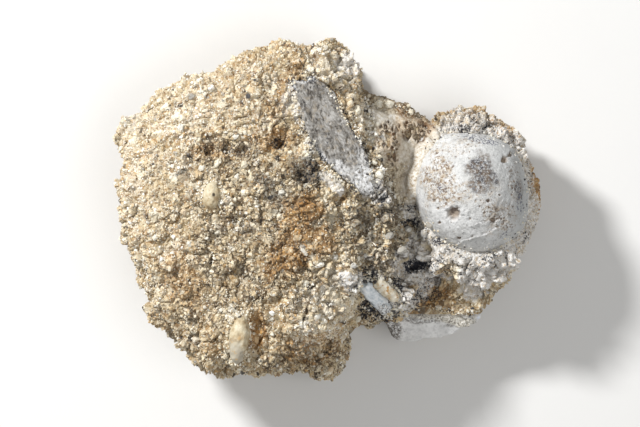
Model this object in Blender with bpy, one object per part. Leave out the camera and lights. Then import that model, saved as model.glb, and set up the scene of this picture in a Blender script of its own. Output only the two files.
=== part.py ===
"""The ball end of a ruminant's fossil humerus, held in a lump of cemented grit.

The specimen lies on its broken back. +Z points up out of the face that shows the bone,
+X runs from the rock towards the ball, and the origin is the middle of the base.
Every length in this file is in millimetres, and becomes metres in to_metres().
"""

import math

import bmesh
import bpy
import numpy as np
from mathutils import Matrix, Vector

# Driving dimensions
BALL_CENTRE = (47.0, 5.6, 35.5)
BALL_RADII = (18.0, 18.6, 18.4)
SOCKET_GAP = 0.35  # clearance between a bone and the pocket it sits in
BASE_LEVEL = 0.0  # the flat, broken back that the specimen lies on

# The rock is a few lobes that run into each other. An outline is the lobe's edge seen
# from above; it is widest at the level "girth" and its corners round off by "squareness".
ROCK_LOBES = {
    "block": {
        "centre": (-22.0, 0.0),
        "outline": [
            (-69.6, 30.4), (-64.2, 32.3), (-59.6, 34.0), (-56.9, 38.0), (-51.6, 40.6),
            (-41.7, 46.2), (-38.4, 45.4), (-32.5, 49.5), (-21.9, 52.8), (-12.0, 56.0),
            (-7.8, 53.8), (-4.1, 55.2), (4.5, 54.8), (7.8, 50.2), (10.9, 46.2),
            (10.6, 40.9), (12.0, 36.0), (13.0, 26.4), (13.0, 8.0), (12.4, -10.0),
            (11.4, -24.8), (10.1, -32.0), (4.8, -37.0), (-0.5, -41.9), (-5.1, -44.9),
            (-9.7, -46.2), (-12.6, -50.2), (-16.7, -54.0), (-24.6, -55.0), (-36.1, -55.0),
            (-40.8, -52.8), (-45.4, -49.8), (-51.3, -39.6), (-59.4, -36.6), (-60.4, -31.7),
            (-57.9, -28.7), (-63.9, -17.8), (-67.2, -10.6), (-69.6, 6.6), (-66.8, 16.2),
            (-70.8, 24.2),
        ],
        "low": -4.0, "girth": 27.0, "high": 60.0, "squareness": 0.30,
    },
    "foot": {
        "centre": (-10.0, -42.0),
        "outline": [
            (-30.0, -55.0), (-16.7, -55.2), (-8.1, -53.2), (-3.8, -55.2), (0.2, -55.0),
            (4.8, -52.1), (6.4, -44.2), (8.4, -38.0), (12.7, -39.3), (18.5, -37.2),
            (17.0, -29.0), (-9.4, -26.0), (-30.0, -34.0),
        ],
        "low": -3.0, "girth": 17.0, "high": 33.0, "squareness": 0.38,
    },
    "shoulder": {
        "centre": (8.0, 4.0),
        "outline": [
            (6.0, 45.0), (12.0, 38.5), (20.0, 35.0), (25.0, 29.0), (27.0, 18.0),
            (27.5, 6.0), (27.0, -8.0), (25.0, -20.0), (20.0, -28.0), (12.0, -33.5),
            (2.0, -30.0), (-6.0, -10.0), (-6.0, 22.0),
        ],
        "low": -3.0, "girth": 24.0, "high": 53.0, "squareness": 0.66,
    },
    "bridge": {
        "centre": (18.0, 2.0),
        "outline": [
            (5.0, 46.0), (14.4, 37.8), (21.0, 36.2), (27.6, 34.2), (29.5, 30.9),
            (33.0, 28.6), (36.0, 14.0), (34.0, 0.0), (32.0, -18.0), (28.0, -31.0),
            (24.5, -36.0), (17.0, -37.4), (9.0, -35.0), (2.0, -13.2), (0.0, 19.8),
        ],
        "low": -3.0, "girth": 19.0, "high": 37.5, "squareness": 0.36,
    },
    "collar": {
        "centre": (46.0, 2.0),
        "outline": [
            (32.8, 29.2), (37.8, 33.2), (46.4, 34.2), (56.6, 29.6), (63.6, 24.2),
            (68.8, 13.6), (69.4, 2.3), (68.6, -6.6), (64.8, -12.8), (64.6, -18.4),
            (62.2, -24.0), (57.0, -28.5), (55.6, -32.0), (50.3, -33.4), (46.0, -34.8),
            (36.8, -35.0), (29.0, -30.5), (25.2, -19.8), (23.6, -9.9), (23.6, 3.3),
            (26.2, 16.5), (29.0, 25.0),
        ],
        "low": 2.0, "girth": 25.0, "high": 40.5, "squareness": 0.52,
    },
    "cradle": {
        "centre": (36.0, -30.0),
        "outline": [
            (23.0, -36.0), (27.0, -40.0), (36.0, -40.0), (46.0, -36.0), (52.0, -30.0),
            (46.0, -18.0), (28.0, -18.0),
        ],
        "low": 2.0, "girth": 12.0, "high": 19.0, "squareness": 0.40,
    },
}

# Swells and hollows of the upper face: start, end, reach and lift.
ROCK_STROKES = [
    ((-40, 0), (-20, 12), 24, 1.6),  # the face crowns a little
    ((-56, -30), (-44, -46), 9, -3.0),  # lower left corner slopes off
    ((-62, 24), (-50, 34), 9, -3.0),  # upper left corner slopes off
    ((-38, 21), (-29, 20), 3.5, -2.6),  # two stained hollows
    ((-17, 21), (-14, 24), 4, -2.8),
    ((-30, -6), (-24, -20), 6, -1.8),
    ((-52, -10), (-48, -24), 6, -1.6),
    ((-31, -34), (-28, -50), 4, 2.6),  # ridge that ends in the long pebble
    ((-23, -38), (-22, -46), 3.2, -3.4),  # the hollow beside it
    ((-10, 38), (5, 14), 8, -2.6),  # trough of the grey bone
    ((8, 42), (8, 50), 7, -5.0),  # upper right corner is lower
    ((8, -4), (10, -20), 8, -3.0),
    ((-4, -22), (6, -32), 8, -3.0),
    ((30, 20), (26, 8), 3.2, -4.0),  # valley round the ball's left side
    ((26, 8), (26, -8), 3.6, -5.0),
    ((27, -10), (32, -22), 4.0, -5.0),
    ((21, -26), (26, -33), 4.0, 3.0),  # knob between splinter and plate
    ((34, -27), (45, -32), 6.0, -11.0),  # stained hollow under the ball
    ((50, -20), (60, -14), 5.0, 1.5),
    ((44, 28), (54, 25), 4.0, 1.5),  # lip over the ball
    ((62, 16), (67, 0), 4.5, -5.0),  # collar slopes off at the right
]

# Broken faces, as a point on the face and the way it looks out.
ROCK_BREAKS = [
    ((-67.0, 10.0, 16.0), (-0.93, 0.10, -0.36)),
    ((-36.0, 46.0, 16.0), (-0.40, 0.83, -0.40)),
    ((-46.0, -48.0, 14.0), (-0.62, -0.66, -0.42)),
    ((-62.0, 26.0, 52.0), (-0.62, 0.42, 0.66)),
    ((2.0, 53.0, 46.0), (0.30, 0.70, 0.64)),
    ((-20.0, -55.0, 50.0), (-0.10, -0.80, 0.60)),
    ((62.0, -12.0, 8.0), (0.55, -0.35, -0.76)),
    ((54.0, 26.0, 9.0), (0.40, 0.55, -0.73)),
]

# The neck and the flared end of the shaft, from inside the ball back into the rock.
NECK_SPINE = [  # middle of each ring and its radius
    ((44.0, 8.0, 31.0), 14.5),
    ((37.5, 13.5, 29.5), 12.5),
    ((31.5, 18.4, 28.0), 8.8),
    ((25.5, 22.6, 27.5), 11.2),
    ((19.0, 26.5, 27.0), 13.4),
    ((10.0, 28.5, 26.0), 12.6),
    ((2.0, 29.5, 25.5), 9.0),
]
BONE_PITS = [  # hole in the ball, then the open cells of the spongy end: x, y, radius
    (41.0, -0.8, 1.45),
    (52.5, -4.6, 0.9),
    (19.4, 24.8, 1.5),
    (26.2, 24.4, 1.1),
    (29.0, 24.2, 1.1),
    (31.2, 23.4, 1.2),
    (28.4, 27.2, 1.0),
    (30.9, 26.4, 0.9),
    (19.6, 21.6, 1.2),
    (16.8, 22.4, 1.3),
]

SHAFT_OUTLINE = [
    (-12.9, 42.4), (-6.5, 42.8), (-1.0, 41.0), (1.2, 36.6), (5.4, 28.0), (9.3, 19.6),
    (13.2, 10.0), (15.4, 5.4), (10.8, 6.6), (5.2, 10.4), (0.6, 14.9), (-3.5, 20.4),
    (-7.8, 28.2), (-10.6, 35.2),
]
SHAFT_THICKNESS = 8.0

PLATE_OUTLINE = [
    (19.0, -37.4), (20.6, -41.3), (23.2, -43.8), (28.9, -43.9), (32.4, -42.6),
    (36.8, -42.6), (41.7, -40.9), (47.7, -37.9), (50.4, -36.2), (51.2, -33.6),
    (47.0, -31.5), (40.0, -31.0), (32.0, -31.0), (25.0, -33.0),
]
PLATE_THICKNESS = 5.5

# Small pieces set in the rock's face. "proud" is how far the middle stands above the rock.
SPLINTER = {"start": (11.6, -24.6), "end": (19.9, -33.4), "radii": (2.3, 2.0), "proud": 0.2}
CHIP = {"start": (15.6, -23.4), "end": (22.6, -29.4), "radii": (2.0, 1.8), "proud": 0.5}
OVAL_PEBBLE = {"centre": (-38.2, 4.6), "radii": (2.9, 4.9, 2.8), "turn": -8.0, "proud": -0.4}
LONG_PEBBLE = {"centre": (-29.2, -41.8), "radii": (3.3, 8.6, 3.6), "turn": -6.0, "proud": -1.8}

COLOURS = {  # base colour and roughness
    "matrix_block": ((0.60, 0.50, 0.35), 0.95),
    "humerus": ((0.80, 0.78, 0.73), 0.80),
    "shaft_fragment": ((0.50, 0.49, 0.46), 0.90),
    "bone_plate": ((0.74, 0.73, 0.69), 0.70),
    "bone_splinter": ((0.58, 0.63, 0.67), 0.35),
    "bone_chip": ((0.80, 0.70, 0.50), 0.60),
    "oval_pebble": ((0.74, 0.66, 0.48), 0.60),
    "long_pebble": ((0.70, 0.64, 0.50), 0.70),
}

# Fineness of the solids
SKIN = 1.2  # mesh size while lobes are grown together and the rock is shaped
ROCK_RELIEF = [  # pattern, size of its lumps and depth from crest to hollow
    ("CLOUDS", 16.0, 4.0),
    ("VORONOI", 8.0, 3.2),
    ("CLOUDS", 5.0, 2.4),
]
ROCK_TRIANGLES = 4900
HUMERUS_TRIANGLES = 700
SLAB_CORNERS = 36  # points round the edge of a flat fragment


def to_metres(value):
    return value * 0.001


def clear_scene():
    for obj in list(bpy.data.objects):
        bpy.data.objects.remove(obj, do_unlink=True)


def object_of(bm, name):
    """Puts a bmesh in millimetres into the scene as an object in metres."""
    bmesh.ops.scale(bm, vec=(to_metres(1.0),) * 3, verts=bm.verts)
    bmesh.ops.recalc_face_normals(bm, faces=bm.faces)
    bmesh.ops.triangulate(bm, faces=bm.faces)
    mesh = bpy.data.meshes.new(name)
    bm.to_mesh(mesh)
    bm.free()
    obj = bpy.data.objects.new(name, mesh)
    bpy.context.scene.collection.objects.link(obj)
    return obj


def apply_modifiers(obj):
    """Replaces the object's mesh by what its modifiers make of it."""
    bpy.context.view_layer.update()
    graph = bpy.context.evaluated_depsgraph_get()
    mesh = bpy.data.meshes.new_from_object(obj.evaluated_get(graph))
    obj.modifiers.clear()
    obj.data = mesh
    return obj


def resampled(outline, count):
    """Points at even steps along the closed line through the outline's corners."""
    corners = np.array(outline + [outline[0]], float)
    steps = np.hypot(*np.diff(corners, axis=0).T)
    along = np.concatenate([[0.0], np.cumsum(steps)])
    where = np.linspace(0.0, along[-1], count, endpoint=False)
    return np.stack([np.interp(where, along, corners[:, k]) for k in (0, 1)], axis=1)


def bridged(bm, loops):
    """Closes a stack of rings of the same length into one solid with capped ends."""
    rings = []
    for loop in loops:
        verts = [bm.verts.new(point) for point in loop]
        rings.append([bm.edges.new((a, b)) for a, b in zip(verts, verts[1:] + verts[:1])])
    for lower, upper in zip(rings, rings[1:]):
        bmesh.ops.bridge_loops(bm, edges=lower + upper)
    for ring in (rings[0], rings[-1]):
        bmesh.ops.holes_fill(bm, edges=ring)
    return bm


def pillow(name, lobe, count=110, rings=15):
    """A lobe: its outline stacked from low to high, drawn in towards its centre at both ends."""
    edge = resampled(lobe["outline"], count)
    centre = np.array(lobe["centre"])
    loops = []
    for tilt in np.linspace(-1.0, 1.0, rings + 2)[1:-1] * math.pi / 2:
        spread = math.cos(tilt) ** lobe["squareness"]
        rise = math.copysign(abs(math.sin(tilt)) ** lobe["squareness"], tilt)
        reach = lobe["high"] - lobe["girth"] if rise > 0 else lobe["girth"] - lobe["low"]
        level = lobe["girth"] + rise * reach
        loops.append([(*(centre + (p - centre) * spread), level) for p in edge])
    return object_of(bridged(bmesh.new(), loops), name)


def evened(obj, voxel, smoothing):
    """Makes one even skin of whatever the object holds, without folds or inner walls."""
    remesh = obj.modifiers.new("one_skin", "REMESH")
    remesh.mode = "VOXEL"
    remesh.voxel_size = to_metres(voxel)
    smooth = obj.modifiers.new("soften", "SMOOTH")
    smooth.factor = 0.5
    smooth.iterations = smoothing
    return apply_modifiers(obj)


def fused(name, pieces, voxel, smoothing):
    """Grows overlapping pieces together into one object."""
    bm = bmesh.new()
    for piece in pieces:
        bm.from_mesh(piece.data)
        bpy.data.objects.remove(piece, do_unlink=True)
    mesh = bpy.data.meshes.new(name)
    bm.to_mesh(mesh)
    bm.free()
    obj = bpy.data.objects.new(name, mesh)
    bpy.context.scene.collection.objects.link(obj)
    return evened(obj, voxel, smoothing)


def points_of(obj):
    points = np.empty(len(obj.data.vertices) * 3)
    obj.data.vertices.foreach_get("co", points)
    return points.reshape(-1, 3) * 1000.0


def normals_of(obj):
    normals = np.empty(len(obj.data.vertices) * 3)
    obj.data.vertices.foreach_get("normal", normals)
    return normals.reshape(-1, 3)


def set_points(obj, points):
    obj.data.vertices.foreach_set("co", to_metres(points).ravel())
    obj.data.update()


def sculpt_top(obj, strokes):
    """Raises or sinks the upward faces along each stroke."""
    points = points_of(obj)
    upward = np.clip(normals_of(obj)[:, 2] * 2.5, 0.0, 1.0)
    lifted = np.zeros(len(points))
    for start, end, reach, lift in strokes:
        a, b = np.array(start, float), np.array(end, float)
        share = np.clip(((points[:, :2] - a) @ (b - a)) / ((b - a) @ (b - a)), 0.0, 1.0)
        away = np.hypot(*(points[:, :2] - a - share[:, None] * (b - a)).T) / reach
        lifted += lift * np.exp(-(away**2))
    points[:, 2] += lifted * upward
    set_points(obj, points)


def roughen(obj, pattern, grain, strength):
    """Moves the surface in and out by one of Blender's solid textures."""
    texture = bpy.data.textures.new(f"{obj.name}_{pattern.lower()}_{grain:g}", pattern)
    texture.noise_scale = to_metres(grain)
    displace = obj.modifiers.new(texture.name, "DISPLACE")
    displace.texture = texture
    displace.texture_coords = "LOCAL"
    displace.strength = to_metres(strength)
    displace.mid_level = 0.5


def thin_out(obj, triangles):
    """Reduces the mesh to about this many triangles, keeping its main forms."""
    triangulate = obj.modifiers.new("triangles", "TRIANGULATE")
    triangulate.quad_method = "SHORTEST_DIAGONAL"
    apply_modifiers(obj)
    thin = obj.modifiers.new("thin_out", "DECIMATE")
    thin.ratio = triangles / len(obj.data.polygons)
    return apply_modifiers(obj)


def split_off(obj, point, outward):
    """Breaks off all that lies beyond a plane and closes the wound flat."""
    bm = bmesh.new()
    bm.from_mesh(obj.data)
    cut = bmesh.ops.bisect_plane(
        bm,
        geom=bm.verts[:] + bm.edges[:] + bm.faces[:],
        plane_co=Vector(point) * to_metres(1.0),
        plane_no=Vector(outward).normalized(),
        clear_outer=True,
    )
    edges = [e for e in cut["geom_cut"] if isinstance(e, bmesh.types.BMEdge)]
    bmesh.ops.holes_fill(bm, edges=edges)
    bmesh.ops.triangulate(bm, faces=bm.faces)
    bm.to_mesh(obj.data)
    bm.free()


def keep_largest_body(obj):
    """Deletes crumbs that a cut has left loose."""
    bm = bmesh.new()
    bm.from_mesh(obj.data)
    unseen = set(bm.verts)
    bodies = []
    while unseen:
        body, front = set(), [unseen.pop()]
        while front:
            vert = front.pop()
            body.add(vert)
            for edge in vert.link_edges:
                other = edge.other_vert(vert)
                if other in unseen:
                    unseen.discard(other)
                    front.append(other)
        bodies.append(body)
    largest = max(bodies, key=len)
    bmesh.ops.delete(bm, geom=[v for v in bm.verts if v not in largest], context="VERTS")
    bm.to_mesh(obj.data)
    bm.free()


def cut_away(obj, cutter, solver="EXACT"):
    """Takes the cutter's shape out of the object, then removes the cutter."""
    cutter.hide_render = True
    cutter.display_type = "WIRE"
    boolean = obj.modifiers.new("pocket", "BOOLEAN")
    boolean.operation = "DIFFERENCE"
    boolean.solver = solver
    boolean.object = cutter
    apply_modifiers(obj)
    bpy.data.objects.remove(cutter, do_unlink=True)


def swollen(obj, gap):
    """A copy of the object, larger by the gap all round."""
    copy = bpy.data.objects.new(obj.name + "_pocket", obj.data.copy())
    bpy.context.scene.collection.objects.link(copy)
    grow = copy.modifiers.new("clearance", "DISPLACE")
    grow.strength = to_metres(gap)
    grow.mid_level = 0.0
    return apply_modifiers(copy)


def rings_along(spine, count=28):
    """Rings square to a line of middles, each with its own radius."""
    middles = [Vector(middle) for middle, _ in spine]
    loops = []
    for i, (middle, radius) in enumerate(zip(middles, [r for _, r in spine])):
        ahead = middles[min(i + 1, len(middles) - 1)] - middles[max(i - 1, 0)]
        side = ahead.cross(Vector((0.0, 0.0, 1.0))).normalized()
        over = side.cross(ahead).normalized()
        turns = [2 * math.pi * k / count for k in range(count)]
        loops.append([middle + (side * math.cos(t) + over * math.sin(t)) * radius for t in turns])
    return loops


def ball(name, centre, radii, subdivisions=5):
    bm = bmesh.new()
    place = Matrix.Translation(Vector(centre)) @ Matrix.Diagonal((*radii, 1.0))
    bmesh.ops.create_icosphere(bm, subdivisions=subdivisions, radius=1.0, matrix=place)
    return object_of(bm, name)


def top_of(obj, x, y):
    """Level of the object's uppermost surface over a point."""
    above = to_metres(1.0) * Vector((x, y, 200.0))
    hit, place, _, _ = obj.ray_cast(above, Vector((0.0, 0.0, -1.0)))
    return place.z * 1000.0 if hit else None


def make_humerus():
    neck = object_of(bridged(bmesh.new(), rings_along(NECK_SPINE)), "neck")
    bone = fused("humerus", [ball("head", BALL_CENTRE, BALL_RADII), neck], SKIN, 4)
    roughen(bone, "CLOUDS", 7.0, 0.5)
    thin_out(bone, HUMERUS_TRIANGLES)
    for x, y, radius in BONE_PITS:
        level = top_of(bone, x, y)
        cut_away(bone, ball("pit", (x, y, level - 0.2), (radius,) * 3, 1))
    return bone


def slab(name, outline, top_level, thickness, inset=0.8, rings=4):
    """A plate that follows an outline, with its upper face at top_level(x, y)."""
    edge = resampled(outline, SLAB_CORNERS)
    centre = edge.mean(axis=0)
    loops = []
    for drop, spread in [(thickness, 0.90), (thickness * 0.55, 0.97), (inset, 1.0), (0.0, 0.965)]:
        around = centre + (edge - centre) * spread
        loops.append([(x, y, top_level(x, y) - drop) for x, y in around])
    for k in range(1, rings):
        around = centre + (edge - centre) * (0.965 * (1.0 - k / rings))
        loops.append([(x, y, top_level(x, y)) for x, y in around])
    return bridged(bmesh.new(), loops)


def shaft_level(x, y):
    """The grey face slopes down to the right and is a little hollow along its middle."""
    across = (x + 1.5) * 0.80 + (y - 26.0) * 0.55
    return 57.2 - 0.27 * x - 0.03 * y + 0.012 * across**2


def make_shaft_fragment():
    bone = object_of(slab("shaft", SHAFT_OUTLINE, shaft_level, SHAFT_THICKNESS), "shaft_fragment")
    roughen(bone, "CLOUDS", 4.0, 0.5)
    return apply_modifiers(bone)


def plate_level(x, y):
    """The plate's face falls towards its outer edge, like the rim of a bowl."""
    return 25.5 + 0.42 * (y + 33.0) - 0.006 * (x - 35.0) ** 2


def bare(rock, outline, level, reach=12.0):
    """Clears the rock from above a bone whose face follows level(x, y)."""
    edge = resampled(outline, SLAB_CORNERS)
    floor = [(x, y, level(x, y) - 1.2) for x, y in edge]
    roof = [(x, y, level(x, y) + reach) for x, y in edge]
    cut_away(rock, object_of(bridged(bmesh.new(), [floor, roof]), "overburden"), "MANIFOLD")


def make_bone_plate():
    bone = object_of(slab("plate", PLATE_OUTLINE, plate_level, PLATE_THICKNESS), "bone_plate")
    roughen(bone, "CLOUDS", 5.0, 0.4)
    return apply_modifiers(bone)


def make_rod(name, rod, rock):
    """A rounded stick of bone with blunt ends, half sunk in the rock."""
    start, end = (
        Vector((*rod[key], top_of(rock, *rod[key]) + rod["proud"])) for key in ("start", "end")
    )
    ends = rod["radii"]
    spine = []
    for share, fullness in [(0.0, 0.55), (0.08, 0.9), (0.35, 1.0), (0.7, 1.0), (0.93, 0.85), (1.0, 0.5)]:
        radius = (ends[0] * (1.0 - share) + ends[1] * share) * fullness
        spine.append((start.lerp(end, share), radius))
    rod_object = object_of(bridged(bmesh.new(), rings_along(spine, 12)), name)
    roughen(rod_object, "CLOUDS", 3.0, 0.4)
    return apply_modifiers(rod_object)


def make_pebble(name, pebble, rock):
    bm = bmesh.new()
    level = top_of(rock, *pebble["centre"]) + pebble["proud"]
    place = (
        Matrix.Translation(Vector((*pebble["centre"], level)))
        @ Matrix.Rotation(math.radians(pebble["turn"]), 4, "Z")
        @ Matrix.Diagonal((*pebble["radii"], 1.0))
    )
    bmesh.ops.create_icosphere(bm, subdivisions=2, radius=1.0, matrix=place)
    pebble_object = object_of(bm, name)
    roughen(pebble_object, "CLOUDS", 4.0, 0.6)
    return apply_modifiers(pebble_object)


def make_rock():
    """The whole lump, before any pocket is cut in it."""
    lobes = [pillow(name, lobe) for name, lobe in ROCK_LOBES.items()]
    rock = fused("matrix_block", lobes, SKIN, 3)
    for point, outward in ROCK_BREAKS:
        split_off(rock, point, outward)
    evened(rock, SKIN, 1)
    sculpt_top(rock, ROCK_STROKES)
    for pattern, grain, depth in ROCK_RELIEF:
        roughen(rock, pattern, grain, depth)
    evened(rock, SKIN, 1)
    thin_out(rock, ROCK_TRIANGLES)
    split_off(rock, (0.0, 0.0, BASE_LEVEL), (0.0, 0.0, -1.0))
    return rock


def paint(obj):
    colour, roughness = COLOURS[obj.name]
    material = bpy.data.materials.new(obj.name)
    material.use_nodes = True
    shader = material.node_tree.nodes["Principled BSDF"]
    shader.inputs["Base Color"].default_value = (*colour, 1.0)
    shader.inputs["Roughness"].default_value = roughness
    shader.inputs["Metallic"].default_value = 0.0
    obj.data.materials.clear()
    obj.data.materials.append(material)
    obj.data.shade_smooth()
    obj.data.set_sharp_from_angle(angle=math.radians(45.0))


def set_down(objects):
    """Moves the specimen so that the origin is the middle of its box, at the base."""
    corners = np.concatenate([points_of(obj) for obj in objects])
    low, high = corners.min(axis=0), corners.max(axis=0)
    shift = -(low + high) / 2
    shift[2] = -low[2]
    for obj in objects:
        set_points(obj, points_of(obj) + shift)


def main():
    clear_scene()
    rock = make_rock()
    inclusions = [
        make_humerus(),
        make_shaft_fragment(),
        make_bone_plate(),
        make_rod("bone_splinter", SPLINTER, rock),
        make_rod("bone_chip", CHIP, rock),
        make_pebble("oval_pebble", OVAL_PEBBLE, rock),
        make_pebble("long_pebble", LONG_PEBBLE, rock),
    ]
    for inclusion in inclusions:
        cut_away(rock, swollen(inclusion, SOCKET_GAP), "MANIFOLD")
    bare(rock, SHAFT_OUTLINE, shaft_level)
    keep_largest_body(rock)
    set_down([rock, *inclusions])
    for obj in [rock, *inclusions]:
        paint(obj)


main()
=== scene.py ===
import itertools
import math

import bmesh
import bpy
import numpy as np
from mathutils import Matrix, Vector
from mathutils.bvhtree import BVHTree


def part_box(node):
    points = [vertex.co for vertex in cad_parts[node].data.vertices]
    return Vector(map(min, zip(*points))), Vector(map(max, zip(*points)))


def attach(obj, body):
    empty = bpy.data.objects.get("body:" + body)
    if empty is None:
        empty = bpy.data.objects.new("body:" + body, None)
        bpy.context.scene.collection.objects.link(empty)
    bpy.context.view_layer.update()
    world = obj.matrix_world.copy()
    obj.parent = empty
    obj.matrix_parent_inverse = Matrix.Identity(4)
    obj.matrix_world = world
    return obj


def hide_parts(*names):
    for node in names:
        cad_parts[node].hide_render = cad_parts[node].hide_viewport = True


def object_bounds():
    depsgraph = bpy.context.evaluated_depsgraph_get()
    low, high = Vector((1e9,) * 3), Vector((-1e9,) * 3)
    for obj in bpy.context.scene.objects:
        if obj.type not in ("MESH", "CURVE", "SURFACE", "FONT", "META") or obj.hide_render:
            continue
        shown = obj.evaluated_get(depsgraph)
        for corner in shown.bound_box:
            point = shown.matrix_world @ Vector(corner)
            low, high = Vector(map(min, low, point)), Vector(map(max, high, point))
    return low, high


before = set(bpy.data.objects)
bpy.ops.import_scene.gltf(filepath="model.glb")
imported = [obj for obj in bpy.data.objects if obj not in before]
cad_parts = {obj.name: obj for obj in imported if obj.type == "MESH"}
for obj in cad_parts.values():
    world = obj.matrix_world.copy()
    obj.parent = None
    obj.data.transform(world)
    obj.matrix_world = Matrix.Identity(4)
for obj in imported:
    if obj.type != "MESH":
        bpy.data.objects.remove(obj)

# Every length below is in millimetres. x runs to the ball joint, z is up from the flat back.
mm = 0.001
# rays that look down start here, above every piece
skyHeight = 90
cadLow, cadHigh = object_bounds()
lowCorner = np.array(cadLow) / mm
highCorner = np.array(cadHigh) / mm


# Noise on a lattice. The same cell always gives the same number, from 0 to 1.
cellFactors = (374761393, 668265263, 2147483647)
seedFactor = 974634777
mixFactor = 1274126177
farAway = 1e3


def cellNumber(cells, seed):
    mixed = sum(cells[..., axis] * factor for axis, factor in enumerate(cellFactors))
    mixed = mixed + seed * seedFactor
    mixed = (mixed ^ (mixed >> 13)) * mixFactor
    mixed = mixed ^ (mixed >> 16)
    return (mixed & 0xFFFFFF) / 0xFFFFFF


def bumps(points, size, seed):
    # smooth noise from -1 to 1, each bump about size across
    scaled = points / size
    base = np.floor(scaled)
    part = scaled - base
    part = part * part * (3 - 2 * part)
    base = base.astype(np.int64)
    level = np.zeros(len(points))
    for corner in itertools.product((0, 1), repeat=3):
        share = np.prod(np.where(corner, part, 1 - part), axis=1)
        level += share * cellNumber(base + corner, seed)
    return 2 * level - 1


def roughness(points, size, layers, seed):
    # the same with finer layers over it, each half as big and half as strong
    level = np.zeros(len(points))
    for layer in range(layers):
        level += bumps(points, size / 2 ** layer, seed + layer) / 2 ** layer
    return level / (2 - 2 ** (1 - layers))


def ease(values, low, high):
    # 0 up to low, 1 from high on, smooth between them
    part = np.clip((values - low) / (high - low), 0, 1)
    return part * part * (3 - 2 * part)


def cellMiddle(cells, seed):
    # a point somewhere in each cell
    return cells + np.stack([cellNumber(cells, seed + axis) for axis in range(3)], axis=1)


def grainCells(points, cell, spread, seed):
    # the grain each point belongs to, how far its middle is, and how near its border is
    base = np.floor(points / cell).astype(np.int64)
    nearest = np.full(len(points), farAway)
    second = nearest.copy()
    owner = np.zeros_like(base)
    for step in itertools.product((-1, 0, 1), repeat=3):
        cells = base + step
        away = np.linalg.norm(points - cellMiddle(cells, seed) * cell, axis=1)
        away -= spread * cell * cellNumber(cells, seed + 3)
        closer = away < nearest
        second = np.where(closer, nearest, np.minimum(second, away))
        owner[closer] = cells[closer]
        nearest = np.where(closer, away, nearest)
    return owner, nearest, second - nearest


def cobbles(points, normals, cell, share, smallest, largest, seed):
    # round stones of a loose lattice that stand proud of the surface: how far, and which
    base = np.floor(points / cell).astype(np.int64)
    proud = np.zeros(len(points))
    owner = np.zeros_like(base)
    for step in itertools.product((-1, 0, 1), repeat=3):
        cells = base + step
        offset = points - cellMiddle(cells, seed) * cell
        radius = smallest + (largest - smallest) * cellNumber(cells, seed + 4) ** 2
        along = np.einsum("ij,ij->i", offset, normals)
        room = along ** 2 - np.einsum("ij,ij->i", offset, offset) + radius ** 2
        reach = -along + np.sqrt(np.maximum(room, 0))
        reach = np.minimum(reach, 0.75 * radius)
        there = (room > 0) & (reach > proud) & (cellNumber(cells, seed + 5) < share)
        owner[there] = cells[there]
        proud = np.where(there, reach, proud)
    return proud, owner


def awayFrom(points, x, y):
    # how far each point is from a place, seen from above
    return np.hypot(points[:, 0] - x, points[:, 1] - y)


def turnedFrom(points, x, y, degrees):
    # how far each point is from a place, along a direction and across it
    angle = math.radians(degrees)
    dx, dy = points[:, 0] - x, points[:, 1] - y
    return dx * math.cos(angle) + dy * math.sin(angle), dy * math.cos(angle) - dx * math.sin(angle)


def patches(points, spots, fray, seed):
    # how deep each point is in soft-edged patches: x, y, half length, half width, degrees, strength
    level = np.zeros(len(points))
    shake = fray * roughness(points, 4, 4, seed)
    for x, y, long, wide, turn, strength in spots:
        along, across = turnedFrom(points, x, y, turn)
        away = np.sqrt((along / long) ** 2 + (across / wide) ** 2) + shake
        level = np.maximum(level, strength * (1 - ease(away, 0.7, 1.25)))
    return level


def lineDistance(points, line):
    # how far each point is, seen from above, from a drawn line
    nearest = np.full(len(points), farAway)
    for (ax, ay), (bx, by) in zip(line, line[1:]):
        run = np.array([bx - ax, by - ay])
        offset = points[:, :2] - (ax, ay)
        part = np.clip(offset @ run / (run @ run), 0, 1)
        nearest = np.minimum(nearest, np.linalg.norm(offset - part[:, None] * run, axis=1))
    return nearest


# Mesh work. Points go in and out as millimetres.

def numbersOf(items, key, width=3, sort=np.float32):
    flat = np.empty(len(items) * width, sort)
    items.foreach_get(key, flat)
    return flat.reshape(-1, width)


def pointsOf(obj):
    return numbersOf(obj.data.vertices, "co").astype(float) / mm


def normalsOf(obj):
    return numbersOf(obj.data.vertices, "normal").astype(float)


def cornersOf(obj):
    return numbersOf(obj.data.polygons, "vertices", sort=np.int32)


def storedOn(obj, name, width=1):
    # values that were stored on the points
    key = "vector" if width == 3 else "value"
    return numbersOf(obj.data.attributes[name].data, key, width).astype(float)


def setPoints(obj, points):
    # no point goes beyond the CAD part's box
    held = np.clip(points, lowCorner, highCorner) * mm
    obj.data.vertices.foreach_set("co", held.astype(np.float32).ravel())
    obj.data.update()


def addObject(name, data):
    # a new object in the scene
    obj = bpy.data.objects.new(name, data)
    bpy.context.scene.collection.objects.link(obj)
    return obj


def pieceFrom(name, points, faces):
    # a new mesh object
    mesh = bpy.data.meshes.new(name)
    mesh.vertices.add(len(points))
    mesh.loops.add(faces.size)
    mesh.polygons.add(len(faces))
    mesh.loops.foreach_set("vertex_index", faces.astype(np.int32).ravel())
    mesh.polygons.foreach_set("loop_start", np.arange(0, faces.size, faces.shape[1], dtype=np.int32))
    obj = addObject(name, mesh)
    setPoints(obj, points)
    mesh.validate()
    return obj


def copyOf(name, node):
    # a new object in the place of a CAD node, with the node left as it is
    work = bmesh.new()
    work.from_mesh(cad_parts[node].data)
    bmesh.ops.remove_doubles(work, verts=work.verts, dist=0.001 * mm)
    mesh = bpy.data.meshes.new(name)
    work.to_mesh(mesh)
    work.free()
    return addObject(name, mesh)


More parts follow.
